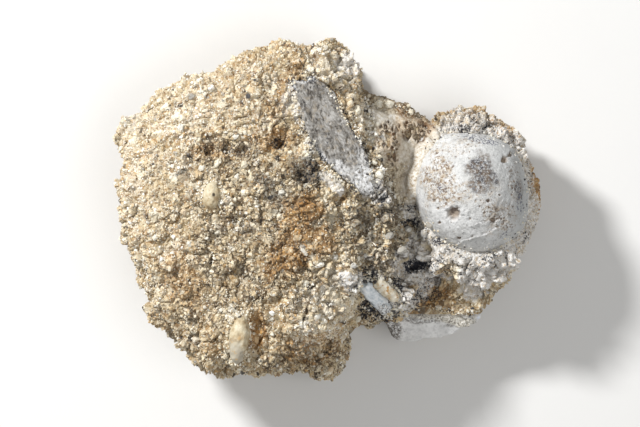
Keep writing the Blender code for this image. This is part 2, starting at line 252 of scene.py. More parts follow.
def settle(obj):
    # the object's modifiers applied
    graph = bpy.context.evaluated_depsgraph_get()
    mesh = bpy.data.meshes.new_from_object(obj.evaluated_get(graph))
    old = obj.data
    obj.modifiers.clear()
    obj.data = mesh
    bpy.data.meshes.remove(old)


def evened(obj, step, passes):
    # one even skin over the object's faces, with the facets smoothed away
    remesh = obj.modifiers.new("even", "REMESH")
    remesh.mode = "VOXEL"
    remesh.voxel_size = step * mm
    smooth = obj.modifiers.new("smooth", "SMOOTH")
    smooth.factor = 0.5
    smooth.iterations = passes
    settle(obj)


def refine(obj, chosen):
    # edges cut in two where both ends are chosen
    work = bmesh.new()
    work.from_mesh(obj.data)
    work.verts.ensure_lookup_table()
    edges = [edge for edge in work.edges if chosen[edge.verts[0].index] and chosen[edge.verts[1].index]]
    bmesh.ops.subdivide_edges(work, edges=edges, cuts=1, use_grid_fill=True)
    bmesh.ops.triangulate(work, faces=[face for face in work.faces if len(face.verts) > 4])
    work.to_mesh(obj.data)
    work.free()


def store(obj, name, values, domain="POINT"):
    layer = obj.data.attributes.new(name, "FLOAT", domain)
    layer.data.foreach_set("value", np.ascontiguousarray(values, np.float32))


def finishPiece(obj, material, slotName, *nodes, smooth=True):
    obj.data.materials.clear()
    obj.data.materials.append(material)
    obj.data.polygons.foreach_set("use_smooth", np.full(len(obj.data.polygons), smooth))
    obj.data.update()
    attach(obj, "root")
    if nodes:
        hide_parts(*nodes)
    obj.data.calc_loop_triangles()
    print(obj.name, len(obj.data.loop_triangles), "triangles")


def thinned(obj, facets):
    # fewer triangles, with the marks kept
    obj.data.calc_loop_triangles()
    thin = obj.modifiers.new("thin", "DECIMATE")
    thin.ratio = min(1.0, facets / len(obj.data.loop_triangles))
    thin.use_collapse_triangulate = True
    settle(obj)


def topOf(tree, x, y):
    # the height of the highest surface at a place, or None
    hit = tree.ray_cast(Vector((x, y, skyHeight)) * mm, Vector((0, 0, -1)))[0]
    return None if hit is None else hit.z / mm


# Material work. Noise sizes are millimetres too.

class Paint:
    def __init__(self, name):
        self.material = bpy.data.materials.new(name)
        self.material.use_nodes = True
        self.tree = self.material.node_tree
        self.shader = self.tree.nodes["Principled BSDF"]
        self.place = None

    def feed(self, socket, value):
        if isinstance(value, bpy.types.NodeSocket):
            self.tree.links.new(value, socket)
        elif socket.type == "RGBA":
            socket.default_value = (*value, 1.0)
        else:
            socket.default_value = value

    def layer(self, name):
        node = self.tree.nodes.new("ShaderNodeAttribute")
        node.attribute_name = name
        return node.outputs["Fac"]

    def noise(self, size, detail=3.0, stretch=(1, 1, 1), turn=0.0, rough=0.55, warp=0.0):
        if self.place is None:
            self.place = self.tree.nodes.new("ShaderNodeTexCoord").outputs["Object"]
        # turn first, then stretch, so that streaks run along the turned x
        turned = self.tree.nodes.new("ShaderNodeMapping")
        turned.vector_type = "POINT"
        turned.inputs["Rotation"].default_value = (0, 0, math.radians(-turn))
        self.tree.links.new(self.place, turned.inputs["Vector"])
        sized = self.tree.nodes.new("ShaderNodeMapping")
        sized.inputs["Scale"].default_value = [1 / (size * mm * share) for share in stretch]
        self.tree.links.new(turned.outputs["Vector"], sized.inputs["Vector"])
        node = self.tree.nodes.new("ShaderNodeTexNoise")
        node.inputs["Scale"].default_value = 1.0
        node.inputs["Detail"].default_value = detail
        node.inputs["Roughness"].default_value = rough
        node.inputs["Distortion"].default_value = warp
        self.tree.links.new(sized.outputs["Vector"], node.inputs["Vector"])
        return node.outputs["Fac"]

    def grade(self, value, low, high, start=0.0, end=1.0):
        node = self.tree.nodes.new("ShaderNodeMapRange")
        node.interpolation_type = "SMOOTHSTEP"
        for name, amount in (("From Min", low), ("From Max", high), ("To Min", start), ("To Max", end)):
            self.feed(node.inputs[name], amount)
        self.feed(node.inputs["Value"], value)
        return node.outputs["Result"]

    def maths(self, operation, *values):
        node = self.tree.nodes.new("ShaderNodeMath")
        node.operation = operation
        for socket, value in zip(node.inputs, values):
            self.feed(socket, value)
        return node.outputs["Value"]

    def broken(self, name, noise, low, high, start=0.0, end=1.0):
        # a stored mark, broken up by noise
        return self.maths("MULTIPLY", self.layer(name), self.grade(noise, low, high, start, end))

    def raised(self, value, name, share):
        # a value with a share of a stored mark added to it
        return self.maths("MULTIPLY_ADD", self.layer(name), share, value)

    def mix(self, share, first, second, kind="MIX"):
        node = self.tree.nodes.new("ShaderNodeMix")
        node.data_type = "RGBA"
        node.blend_type = kind
        self.feed(node.inputs[0], share)
        self.feed(node.inputs[6], first)
        self.feed(node.inputs[7], second)
        return node.outputs[2]

    def shaded(self, colour, level):
        # a colour made darker or brighter by a level
        return self.mix(1.0, colour, self.mix(level, (0, 0, 0), (1, 1, 1)), "MULTIPLY")

    def ramp(self, value, stops):
        node = self.tree.nodes.new("ShaderNodeValToRGB")
        while len(node.color_ramp.elements) < len(stops):
            node.color_ramp.elements.new(1.0)
        for element, (position, colour) in zip(node.color_ramp.elements, stops):
            element.position = position
            element.color = (*colour, 1.0)
        self.feed(node.inputs["Fac"], value)
        return node.outputs["Color"]

    def bump(self, height, depth, below=None):
        node = self.tree.nodes.new("ShaderNodeBump")
        node.inputs["Distance"].default_value = depth * mm
        self.feed(node.inputs["Height"], height)
        if below is not None:
            self.feed(node.inputs["Normal"], below)
        return node.outputs["Normal"]

    def finish(self, colour, rough, normal):
        self.feed(self.shader.inputs["Base Color"], colour)
        self.feed(self.shader.inputs["Roughness"], rough)
        self.feed(self.shader.inputs["Normal"], normal)
        return self.material


# Studio: a camera straight above, one soft lamp from the upper left, a weak fill, a pale floor.
studio = {
    "aim": (-2.54, -0.83, 40.0),
    "frameWidth": 211.0,
    "cameraHeight": 1500.0,
    "sensor": 36.0,
    "keyFrom": (-520.0, 470.0, 640.0),
    "keySize": 150.0,
    "keyWatts": 10.6,
    "fillFrom": (330.0, -240.0, 1000.0),
    "fillSize": 700.0,
    "fillWatts": 4.0,
    "skyLight": 0.24,
    "floorColour": (0.78, 0.775, 0.76),
    "floorReach": 3000.0,
    "clip": (0.1, 20),
}


def lamp(name, place, size, watts):
    light = bpy.data.lights.new(name, "AREA")
    light.shape = "DISK"
    light.size = size * mm
    light.energy = watts
    obj = addObject(name, light)
    obj.location = Vector(place) * mm
    obj.rotation_euler = (Vector(studio["aim"]) - Vector(place)).to_track_quat("-Z", "Y").to_euler()


def makeStudio():
    scene = bpy.context.scene
    # the camera looks straight down and takes in the frame's width at the height of its aim
    lens = bpy.data.cameras.new("topView")
    lens.sensor_width = studio["sensor"]
    reach = studio["cameraHeight"] - studio["aim"][2]
    lens.lens = studio["sensor"] * reach / studio["frameWidth"]
    lens.clip_start, lens.clip_end = studio["clip"]
    camera = addObject("topView", lens)
    camera.location = Vector((studio["aim"][0], studio["aim"][1], studio["cameraHeight"])) * mm
    scene.camera = camera
    lamp("keyLamp", studio["keyFrom"], studio["keySize"], studio["keyWatts"])
    lamp("fillLamp", studio["fillFrom"], studio["fillSize"], studio["fillWatts"])
    world = bpy.data.worlds.new("softSky")
    world.use_nodes = True
    sky = world.node_tree.nodes["Background"].inputs
    sky["Color"].default_value = (1, 1, 1, 1)
    sky["Strength"].default_value = studio["skyLight"]
    scene.world = world
    scene.view_settings.view_transform = "Standard"
    # a wide sheet of pale paper just under the part
    paper = Paint("palePaper")
    tint = paper.mix(paper.noise(40, 3), studio["floorColour"], [0.97 * c for c in studio["floorColour"]])
    paper.finish(tint, 0.9, paper.bump(paper.noise(0.8), 0.02))
    side = studio["floorReach"] * mm
    mesh = bpy.data.meshes.new("floor")
    mesh.from_pydata([(-side, -side, 0), (side, -side, 0), (side, side, 0), (-side, side, 0)], [],
        [(0, 1, 2, 3)])
    floor = addObject("floor", mesh)
    floor.location.z = -0.02 * mm
    mesh.materials.append(paper.material)
    print("studio ready")


makeStudio()


# Grit: the cemented sand, granules and pebbles that hold the bones.
gritLook = {
    "tones": [(0.00, (0.27, 0.19, 0.105)), (0.20, (0.48, 0.385, 0.25)), (0.42, (0.67, 0.59, 0.435)),
        (0.62, (0.80, 0.745, 0.60)), (0.82, (0.885, 0.855, 0.755)), (1.00, (0.93, 0.92, 0.87))],
    "greyGrain": (0.34, 0.325, 0.295),
    "darkGrain": (0.055, 0.052, 0.055),
    "quartzGrain": (0.68, 0.655, 0.58),
    "amberGrain": (0.60, 0.42, 0.21),
    # painted shade for the gaps between grains and the creases between clods
    "darkening": (0.085, 0.062, 0.04),
    "rust": (0.44, 0.235, 0.085),
    "manganese": (0.022, 0.023, 0.03),
    "frost": (0.79, 0.785, 0.77),
    "bedTint": (0.88, 0.795, 0.665),
    "amberWash": (0.74, 0.52, 0.27),
    "greyWash": (0.25, 0.24, 0.215),
    "crustStain": (0.53, 0.42, 0.28),
}


def makeGrit():
    paint = Paint("cementedGrit")
    kind = paint.layer("kind")
    tone = paint.maths("MULTIPLY_ADD", paint.layer("tone"), 0.54, 0.08)
    tone = paint.raised(tone, "shade", 0.40)
    broad = paint.maths("MULTIPLY", paint.maths("SUBTRACT", paint.noise(9, 4), 0.5), 0.8)
    close = paint.maths("MULTIPLY", paint.maths("SUBTRACT", paint.noise(0.7, 4, rough=0.7), 0.5), 1.1)
    tone = paint.maths("ADD", paint.maths("ADD", tone, broad), close)
    tone = paint.raised(tone, "pale", 0.22)
    tone = paint.raised(tone, "amber", -0.12)
    colour = paint.ramp(tone, gritLook["tones"])
    # some grains are another stone
    colour = paint.mix(paint.grade(kind, 0.060, 0.055, 0.0, 0.85), colour, gritLook["greyGrain"])
    colour = paint.mix(paint.grade(kind, 0.016, 0.012, 0.0, 0.9), colour, gritLook["darkGrain"])
    colour = paint.mix(paint.grade(kind, 0.955, 0.96, 0.0, 0.8), colour, gritLook["quartzGrain"])
    stained = paint.maths("MULTIPLY", paint.grade(kind, 0.875, 0.885),
        paint.grade(kind, 0.955, 0.95, 0.0, 0.7))
    colour = paint.mix(stained, colour, gritLook["amberGrain"])
    # amber lies in specks, not in a wash
    specks = paint.raised(paint.noise(1.0, 4, rough=0.7), "bed", 0.06)
    amber = paint.maths("MULTIPLY", paint.layer("amber"), paint.grade(specks, 0.46, 0.60, 0.10, 1.0))
    colour = paint.mix(amber, colour, gritLook["amberWash"], "MULTIPLY")
    grey = paint.broken("grey", paint.noise(2.0, 4), 0.30, 0.55, 0.30, 0.85)
    colour = paint.mix(grey, colour, gritLook["greyWash"])
    # a white crust near the bones
    frosted = paint.raised(paint.noise(1.6, 5, rough=0.7), "frost", 0.55)
    frosted = paint.grade(frosted, 0.76, 0.98)
    white = paint.grade(paint.noise(0.9, 5, rough=0.75), 0.37, 0.50)
    colour = paint.mix(frosted, colour, paint.mix(white, gritLook["crustStain"], gritLook["frost"]))
    # the bed between the grains is darker, rust shows there, then painted shade in the gaps and creases, then
    # black specks
    bed = paint.maths("MULTIPLY", paint.layer("bed"), paint.grade(paint.layer("frost"), 0.3, 1.0, 1.0, 0.15))
    colour = paint.mix(bed, colour, gritLook["bedTint"], "MULTIPLY")
    gap = paint.layer("gap")
    rusty = paint.maths("MULTIPLY_ADD", gap, 0.14, paint.noise(0.75, 4, rough=0.7))
    rusty = paint.raised(rusty, "amber", 0.10)
    rusty = paint.raised(rusty, "frost", -0.06)
    colour = paint.mix(paint.grade(rusty, 0.60, 0.69, 0.0, 0.8), colour, gritLook["rust"])
    # painted shade: the gaps and creases are darkened where shade falls, most in the listed valleys and
    # hollows
    creaseShade = paint.maths("MAXIMUM", gap, paint.layer("crease"))
    creaseShade = paint.maths("MULTIPLY", creaseShade, paint.grade(paint.noise(2.2, 4), 0.32, 0.52, 0.35, 1.0))
    creaseShade = paint.maths("MULTIPLY", creaseShade, paint.grade(paint.layer("creaseShadeZone"), 0.0, 1.0, 0.52, 0.96))
    colour = paint.mix(creaseShade, colour, gritLook["darkening"])
    level = paint.raised(paint.noise(0.62, 3, rough=0.75), "creaseShadeZone", 0.045)
    # the dark zone crowds black specks together: the rock's own specks, and painted shade in hollows, cracks
    # and valleys
    level = paint.raised(level, "dark", 0.20)
    level = paint.raised(level, "crease", 0.08)
    # in the crust the black specks crowd together
    crowd = paint.broken("frost", paint.noise(3.2, 4, rough=0.65), 0.46, 0.60)
    level = paint.maths("MULTIPLY_ADD", crowd, 0.11, level)
    colour = paint.mix(paint.grade(level, 0.70, 0.745), colour, gritLook["manganese"])
    shiny = paint.grade(kind, 0.95, 0.96, 0.88, 0.42)
    fine = paint.bump(paint.noise(0.30, 3, rough=0.75), 0.10)
    normal = paint.bump(paint.noise(0.8, 3, rough=0.7), 0.16, fine)
    return paint.finish(colour, shiny, normal)


grit = makeGrit()


# Where the colours of the matrix change: x, y, half length, half width, degrees, strength.
gritPatches = {
    "pale": [(-58, 15, 14, 30, 0, 1.0), (-45, 33, 18, 12, 30, 0.9), (-30, 32, 16, 9, 20, 0.9),
        (-60, -12, 9, 18, 10, 0.6), (-2, -34, 12, 12, 0, 1.0), (5, -22, 8, 7, 0, 0.8), (20, -6, 7, 8, 0, 0.4),
        (0, 50, 9, 7, 0, 0.9), (-30, 45, 22, 6, 30, 0.7), (12, 30, 3.5, 8, 20, 0.8),
        (52, -16, 16, 6, 10, 0.9), (62, 2, 5, 16, 0, 0.8), (50, 29, 14, 5, 0, 0.8),
        (-30, -38, 5, 12, 10, 0.6)],
    "amber": [(-9, -1, 6, 8, -30, 1.0), (-14, -15, 8, 6, 20, 1.0), (-4, -10, 7, 5, 0, 0.8),
        (-17, 23, 6, 3.5, 0, 0.9), (-14, 38, 10, 4, 60, 0.5), (-23, -39, 3, 7, 0, 1.0),
        (69, 12, 2.0, 14, 8, 0.9), (58, 27, 8, 2.4, -40, 0.8), (45, 33, 10, 1.8, -5, 0.6),
        (46, 29, 14, 4, 0, 0.4), (34, -28.5, 5.5, 4, 0, 0.8), (-46, -24, 6, 12, 30, 0.4),
        (-5, -46, 12, 5, 15, 0.5), (-38, 20, 8, 3, 0, 0.6)],
    "grey": [(-7, 13, 6, 4.5, -30, 1.0), (-44.5, 37.3, 1.6, 1.6, 0, 1.0), (-47, 11.6, 2.4, 1.8, 0, 0.9),
        (-21, 10.5, 4.5, 1.8, -35, 0.9), (11.3, -3, 3.2, 3.4, 0, 0.8), (20.2, -8.2, 2.2, 1.8, 0, 0.7),
        (24.5, -12.9, 2.6, 2.0, 30, 0.6), (-15, 2, 4, 3, 0, 0.5), (22, 2, 5, 12, 10, 0.6),
        (40, -14, 8, 3, 0, 0.6), (10, 42, 3, 3, 0, 0.5)],
    # dark: black specks of the rock, and painted shade in the hollows, in the cracks beside the slab and in
    # the valleys
    "dark": [(-34, 20.3, 7, 1.8, 0, 0.5), (-15.7, 21.8, 2.6, 1.8, 0, 0.8), (-6, 12, 5, 4, -30, 0.7),
        (29, -17.8, 3.5, 2.4, 0, 1.0), (27.8, -4.6, 2.2, 2.2, 0, 1.0), (16, -35, 8, 3, -25, 1.0),
        (34, -28.5, 5.5, 3.5, 0, 0.5), (13, -22, 4, 3, 0, 0.8), (5.9, 31.4, 5.5, 0.9, -60, 1.0),
        (12.6, 20.0, 3.0, 0.8, -70, 0.9), (19, 4, 4, 10, 30, 0.4), (22.5, -25, 2, 4, 0, 0.8),
        (44, -10, 9, 2.6, 0, 0.7), (40, -18, 6, 3, 0, 0.6), (46, 30, 14, 4.5, 0, 0.15)],
    "frost": [(14, 8, 7, 4, -40, 1.0), (9, -22.5, 5, 3.5, 0, 1.0), (30, -19, 9, 9, 0, 0.95),
        (17, -19, 7, 4, 20, 0.6), (2, 9, 6, 2.4, -35, 0.8), (55, -18, 15, 7, 15, 1.0),
        (66, -2, 5, 12, 0, 0.9), (61, 21, 5, 8, 40, 0.8), (24, -29, 6, 7, 0, 1.0), (46, 29, 15, 6, 0, 0.75),
        (48, -26, 6, 5.5, 0, 0.85), (-13, 38, 2.4, 6, 0, 0.7), (2, -28, 9, 10, 0, 0.45),
        (17, 22, 3, 6, 0, 0.75), (4, 46, 8, 6, 0, 0.6), (8, 49, 5, 5, 0, 0.8), (-10.5, 36, 2.2, 7, 10, 0.8),
        (-6, 25, 2.0, 7, 25, 0.7), (14, 32, 3, 6, 20, 0.6), (-66, 32, 5, 6, 0, 0.6), (19, 3, 4, 8, 20, 0.5)],
    # where the painted shade in gaps and creases is strongest: valleys, hollows and low ground
    "creaseShadeZone": [(-22, 2, 24, 20, 0, 0.9), (-8, -18, 20, 16, 0, 0.65), (-34, -26, 22, 12, 25, 0.8),
        (15, -5, 16, 26, 0, 1.0), (-10, 32, 14, 14, 0, 0.6), (10, 35, 8, 14, 0, 0.3),
        (28, -24, 11, 10, 0, 1.0), (-34, 19, 14, 6, 0, 0.9), (0, -50, 20, 8, 0, 1.0),
        (46, 30, 14, 5, 0, 0.9)],
}

matrixLook = {
    "step": 0.5,
    "facets": 190000,
    "grainSize": 1.15,
    "clodSize": 6.0,
    "lumpSize": 2.8,
    "flankWear": 1.7,
    "stoneSpacing": 4.6,
    "stoneShare": 0.30,
    "stoneRadius": (0.9, 2.2),
    "stoneSunk": 0.40,
    # how far the skin grows over the bones, then how near one it goes under it, and how deep
    "grown": 0.45,
    "tuckReach": 0.6,
    "tuckDepth": 0.7,
    "searchReach": 9.0,
    # gaps under the saddle and under the other pieces, and how high a point may stand to go down
    "saddleGap": 0.9,
    "pieceGap": 0.5,
    "pieceReach": 3.5,
    # where the clods stand further apart: x, y, half length, half width, degrees, strength
    "clods": [(52, -22, 17, 8, 10, 0.6), (22, -30, 9, 8, 0, 1.0), (47, 28, 15, 6, 0, 0.3),
        (-30, -46, 30, 8, 0, 0.7), (18, -8, 9, 16, 0, 0.9), (-8, 12, 7, 6, -30, 1.0), (4, 47, 14, 7, 0, 0.8),
        (-20, -22, 22, 12, 0, 0.5)],
    # lumps that stand out: x, y, half length, half width, degrees, height, and what covers them
    "knolls": [(56.5, -3.5, 2.4, 1.8, 20, 0.8, "frost"), (60.5, -16.8, 4.2, 3.0, 30, 2.0, "frost"),
        (50.5, -16.8, 3.8, 2.8, -10, 1.8, "frost"), (43.5, -15.2, 2.8, 2.4, 20, 1.6, "frost"),
        (57.0, -22.5, 3.6, 2.6, -30, 1.8, "pale"), (64.0, -8.0, 2.2, 3.4, 10, 1.2, "frost"),
        (35.0, -19.5, 3.6, 2.6, 10, 2.2, "frost"), (30.5, -23.0, 3.0, 2.2, 60, 2.0, "pale"),
        (24.8, -29.8, 2.8, 2.6, 10, 1.8, "frost"), (27.6, -26.3, 2.2, 1.8, 10, 1.4, "pale"),
        (39.0, 30.5, 3.0, 2.2, 0, 1.4, "frost"), (48.0, 30.5, 3.4, 2.0, -10, 1.2, "pale"),
        (58.5, 25.5, 3.0, 2.0, -40, 1.0, "pale"), (-46.1, 17.3, 3.0, 2.2, 20, 1.2, "pale"),
        (-36.9, -5.6, 3.2, 2.4, 10, 1.5, "pale"), (-34.0, -6.6, 1.8, 1.8, 10, 1.2, "grey"),
        (-25.9, -5.6, 2.2, 1.7, -20, 1.2, "grey"), (-10.5, 14.0, 2.6, 2.2, 20, 1.0, "grey"),
        (-5.0, 11.5, 2.6, 2.0, 0, 1.0, "grey"), (-20.4, 9.2, 4.0, 1.1, -47, 1.1, "grey"),
        (-16.0, 11.0, 2.2, 1.5, 60, 1.0, "pale"), (11.3, -3.0, 2.4, 2.2, 10, 1.4, "grey"),
        (0.5, 50.0, 3.6, 2.6, 30, 1.6, "pale"), (6.0, 46.0, 3.2, 2.4, 60, 1.4, "pale"),
        (8.5, 38.5, 2.4, 3.0, 0, 1.4, "pale"), (-22.0, 44.0, 2.6, 1.8, 20, 1.0, "pale"),
        (-60.0, 8.0, 2.8, 2.2, 30, 1.0, "pale"), (-67.0, 30.0, 3.0, 2.2, 70, 1.4, "pale"),
        (-20.0, -34.3, 2.4, 1.8, 20, 1.2, "pale"), (-8.6, -45.6, 2.8, 2.0, 10, 1.4, "grey"),
        (22.5, 21.5, 1.8, 3.0, 10, 1.2, "pale"), (16.5, 13.0, 2.0, 3.0, 20, 1.2, "pale"),
        (18.0, 2.0, 2.6, 2.0, 0, 1.4, "pale"), (16.3, -15.0, 4.2, 3.2, 30, 2.4, "pale"),
        (24.9, -14.0, 1.7, 3.8, 15, 2.2, "pale"), (28.3, -26.3, 2.6, 4.8, -12, 2.2, "frost"),
        (8.0, -23.5, 4.0, 2.6, 30, 1.8, "frost"), (30.5, -12.0, 2.6, 2.2, 0, 1.6, "frost"),
        (7.5, -20.5, 2.8, 2.2, 60, 1.2, "pale"), (-30.0, -17.0, 2.8, 2.0, 30, 1.2, "pale"),
        (-52.0, -18.0, 3.0, 2.2, 30, 1.2, "pale"), (-12.0, -30.0, 3.2, 2.2, 50, 1.2, "pale"),
        (-44.0, -33.0, 3.2, 2.4, 0, 1.2, "pale")],
    "knollCover": 0.6,
    # x, y, radius, depth
    "hollows": [(-37.9, 20.1, 2.0, 1.8), (-32.6, 20.4, 2.0, 1.8), (-27.3, 20.1, 2.0, 1.6),
        (-15.7, 21.8, 2.0, 3.2), (-23.0, -37.5, 2.0, 1.8), (-22.5, -42.0, 1.6, 1.4), (29.1, -17.8, 2.2, 3.0),
        (27.8, -4.6, 1.8, 2.4), (-8.0, 12.5, 3.6, 1.2), (-46, 11.6, 2.0, 0.8), (-28, -35.5, 1.0, 1.4),
        (-43, -20, 2.4, 1.4), (-39, -26, 2.0, 1.2), (-9, 30, 1.8, 1.2), (-1.5, -16, 2.0, 1.2)],
}


def wavy(points, size, depth, seed):
    # the points shaken a little, so that grains get ragged outlines
    return points + depth * np.stack([roughness(points, size, 2, seed + axis) for axis in range(3)], axis=1)


def grainRelief(points, size):
    # height of the sand grains, and the number of the grain each point is on
    shaken = wavy(points, 1.0, 0.35, 90)
    owner, middle, border = grainCells(shaken, size, 0.40, 100)
    dropped = cellNumber(owner, 108) < 0.12
    rise = 0.45 + 0.7 * (cellNumber(owner, 107) - 0.5) - np.where(dropped, 0.8, 0)
    height = rise * ease(border, 0.0, 0.55) - 0.20 * ease(middle, -0.2, 1.0)
    height += 0.22 * roughness(points, 1.2, 3, 95)
    return height, owner, border, dropped


def clodRelief(points):
    # clods and lumps of cemented sand: their height, how deep a point is in a crease, their shade
    force = 0.60 + 0.40 * patches(points, matrixLook["clods"], 0.6, 130)
    owner, _, border = grainCells(wavy(points, 4.0, 1.7, 135), matrixLook["clodSize"], 0.22, 140)
    height = (1.6 + 2.6 * (cellNumber(owner, 147) - 0.5)) * ease(border, 0.0, 1.3) - 1.5
    crease = 1 - ease(border, 0.0, 0.9)
    shade = 0.55 * cellNumber(owner, 148)
    owner, _, border = grainCells(wavy(points, 2.2, 0.9, 150), matrixLook["lumpSize"], 0.30, 155)
    height += (0.9 + 1.5 * (cellNumber(owner, 162) - 0.5)) * ease(border, 0.0, 0.7) - 0.8
    crease = np.maximum(crease, 0.9 * (1 - ease(border, 0.0, 0.48)))
    shade += 0.45 * cellNumber(owner, 163)
    return force * height, force * crease, shade


def knollRelief(points):
    # height of the listed lumps
    height = np.zeros(len(points))
    shake = 0.35 * roughness(points, 2.6, 3, 171)
    for x, y, long, wide, turn, rise in (knoll[:6] for knoll in matrixLook["knolls"]):
        along, across = turnedFrom(points, x, y, turn)
        away = np.hypot(along / long, across / wide) + shake
        height = np.maximum(height, rise * (1 - ease(away, 0.45, 1.05)))
    return height


def stoneRelief(points, normals):
    # height of the rounded stones, and the number of the stone each point is on
    smallest, largest = matrixLook["stoneRadius"]
    shaken = wavy(points, 1.6, 0.5, 115)
    spacing, share = matrixLook["stoneSpacing"], matrixLook["stoneShare"]
    proud, owner = cobbles(shaken, normals, spacing, share, smallest, largest, 120)
    return 1.1 * (1 - np.exp(-proud / 1.1)), owner


def zonesOf(points):
    # how strong each colour zone of the matrix is at each point
    zones = {}
    for place, (name, spots) in enumerate(gritPatches.items()):
        cover = matrixLook["knollCover"]
        covered = [(*knoll[:5], cover) for knoll in matrixLook["knolls"] if knoll[6] == name]
        zones[name] = patches(points, spots + covered, 0.75, 200 + 10 * place) * ease(points[:, 2], 8, 16)
    # white crust with black specks round the ball
    reach, angle = fromBall(points)
    ring = ease(points[:, 2], 26, 34) * (1 - ease(reach - ballOutline(angle), 3.5, 8.5))
    zones["frost"] = np.maximum(zones["frost"], 0.9 * ring)
    zones["dark"] = np.maximum(zones["dark"], 0.35 * ring)
    # the flanks and the back, which no patch reaches
    hidden = 1 - ease(points[:, 2], 10, 24)
    zones["pale"] = np.maximum(zones["pale"], 0.5 * hidden * ease(roughness(points, 22, 3, 31), 0.0, 0.5))
    zones["amber"] = np.maximum(zones["amber"], 0.8 * hidden * ease(roughness(points, 17, 3, 41), 0.15, 0.5))
    zones["dark"] = np.maximum(zones["dark"], 0.7 * hidden * ease(roughness(points, 11, 3, 51), 0.3, 0.6))
    # strong painted shade in the creases of the flanks and the back
    zones["creaseShadeZone"] = np.maximum(zones["creaseShadeZone"], 0.8 * hidden)
    return zones


# The humerus head: a worn white ball, its radii in x, y and z, and what marks it.
ballLook = {
    "step": 0.42,
    "facets": 150000,
    "radii": (18.0, 18.6, 18.4),
    # degrees round the ball, and how far its edge shows from the middle
    "edge": [(18, 18.6), (47, 19.8), (76, 19.2), (100, 19.5), (114, 20.4), (138, 19.9), (165, 18.6),
        (192, 17.8), (230, 17.6), (255, 17.8), (267, 18.6), (284, 19.4), (311, 20.0), (325, 20.4),
        (353, 19.0)],
    # the reach of the solid's own edge, and where its cap begins in x
    "waist": 17.6,
    "left": 31,
    # the matrix round the ball: how high it may stand at the ball's edge, and how it rises from there
    "collar": {"gap": 0.2, "height": 40.1, "slope": 1.25, "width": 3.5, "foot": 33},
    # one deep hole and many small ones: x, y, radius, depth; then a knob: x, y, radius, height
    "drill": (41.0, -0.9, 2.4, 1.9),
    "pits": [(52.5, 3.1, 0.6, 0.8), (54.3, -3.2, 0.85, 0.9), (42.8, -9.0, 0.8, 0.8), (34.6, 3.4, 0.6, 0.7),
        (58.1, 16.9, 1.1, 0.9), (60.2, 18.9, 0.9, 0.8), (36.5, -4.0, 0.5, 0.5), (56.5, 5.2, 0.5, 0.6),
        (50.2, 7.9, 0.45, 0.6), (36.0, 0.8, 0.5, 0.5)],
    "knob": (44.9, -0.7, 1.9, 0.45),
    # fine raised lines, and their heights
    "ridges": [[(46.4, -5.2), (47.6, -4.6), (49.6, -4.0), (51.4, -4.6), (52.4, -3.6)],
        [(42.8, -10.8), (44.6, -9.7), (46.3, -9.4), (48.9, -8.3), (51.0, -8.1), (52.9, -7.2), (55.9, -5.4)]],
    "ridgeHeights": (0.14, 0.20),
    # marks: x, y, half length, half width, degrees, strength
    "worn": [(36.5, 9.5, 6.5, 8.5, 20, 1.0), (42.5, 7.0, 6.0, 4.0, -10, 0.7), (57.0, -2.0, 5.5, 6.5, 20, 0.8),
        (52.5, 5.0, 4.0, 6.0, 10, 0.5), (61.5, 8.0, 2.5, 8.0, 0, 0.7), (43.0, 21.0, 8.0, 2.5, 10, 0.45)],
    "manganese": [(51.0, 13.4, 4.4, 4.6, -40, 1.0), (54.6, 11.4, 2.6, 2.4, -50, 0.9),
        (50.0, 8.6, 3.4, 3.2, 0, 0.8), (62.8, 7.0, 1.2, 3.4, 0, 0.5)],
    "blueStreaks": [(50.5, 23.4, 6.0, 1.2, -12, 0.9), (37.2, 7.6, 1.4, 1.2, -40, 0.9),
        (58.5, -7.5, 3.0, 1.0, 30, 0.8), (63.0, 4.0, 1.0, 5.0, 5, 0.7)],
    # a grey band below the second ridge, partly the bone's own grey, partly painted shade
    "greyAndShade": [(49.0, -11.5, 8.0, 2.6, 8, 0.1)],
    # colours, and the ones that noise runs through
    "chalk": [(0.30, (0.63, 0.625, 0.605)), (0.48, (0.77, 0.77, 0.755)), (0.66, (0.87, 0.87, 0.86))],
    "tan": (0.56, 0.44, 0.30),
    "grey": (0.53, 0.54, 0.535),
    "stain": [(0.40, (0.06, 0.06, 0.075)), (0.60, (0.17, 0.125, 0.09))],
    "blue": (0.075, 0.085, 0.13),
    "mark": (0.20, 0.125, 0.065),
    "pitFloor": [(0.40, (0.15, 0.10, 0.07)), (0.56, (0.38, 0.30, 0.225))],
    "neckRind": [(0.32, (0.11, 0.075, 0.045)), (0.46, (0.36, 0.27, 0.17)), (0.58, (0.53, 0.44, 0.31)),
        (0.68, (0.66, 0.61, 0.52))],
}

humerusLow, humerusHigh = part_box("humerus")
ballMiddle = np.array([
    humerusHigh.x / mm - ballLook["radii"][0],
    humerusLow.y / mm + ballLook["radii"][1],
    humerusHigh.z / mm - ballLook["radii"][2]])


def pinch(points, spots, fray, seed):
    # round hollows seen from above: how deep, and how far inside one each point is
    depth = np.zeros(len(points))
    inside = np.zeros(len(points))
    shake = fray * bumps(points, 0.9, seed)
    for x, y, radius, deep in spots:
        away = awayFrom(points, x, y) / radius + shake
        level = 1 - ease(away, 0.55, 1.15)
        depth = np.maximum(depth, deep * level)
        inside = np.maximum(inside, level)
    return depth, inside


def speckle(points, share, size, seed):
    # small pits of a jittered lattice: 1 in a pit, 0 between them
    shake = np.stack([bumps(points, size * 0.6, seed + axis) for axis in range(3)], axis=1)
    owner, middle = grainCells(points + 0.25 * size * shake, size, 0, seed)[:2]
    chosen = cellNumber(owner, seed + 9) < share
    radius = size * (0.18 + 0.30 * cellNumber(owner, seed + 8))
    return np.where(chosen, 1 - ease(middle, 0.6 * radius, 1.2 * radius), 0)


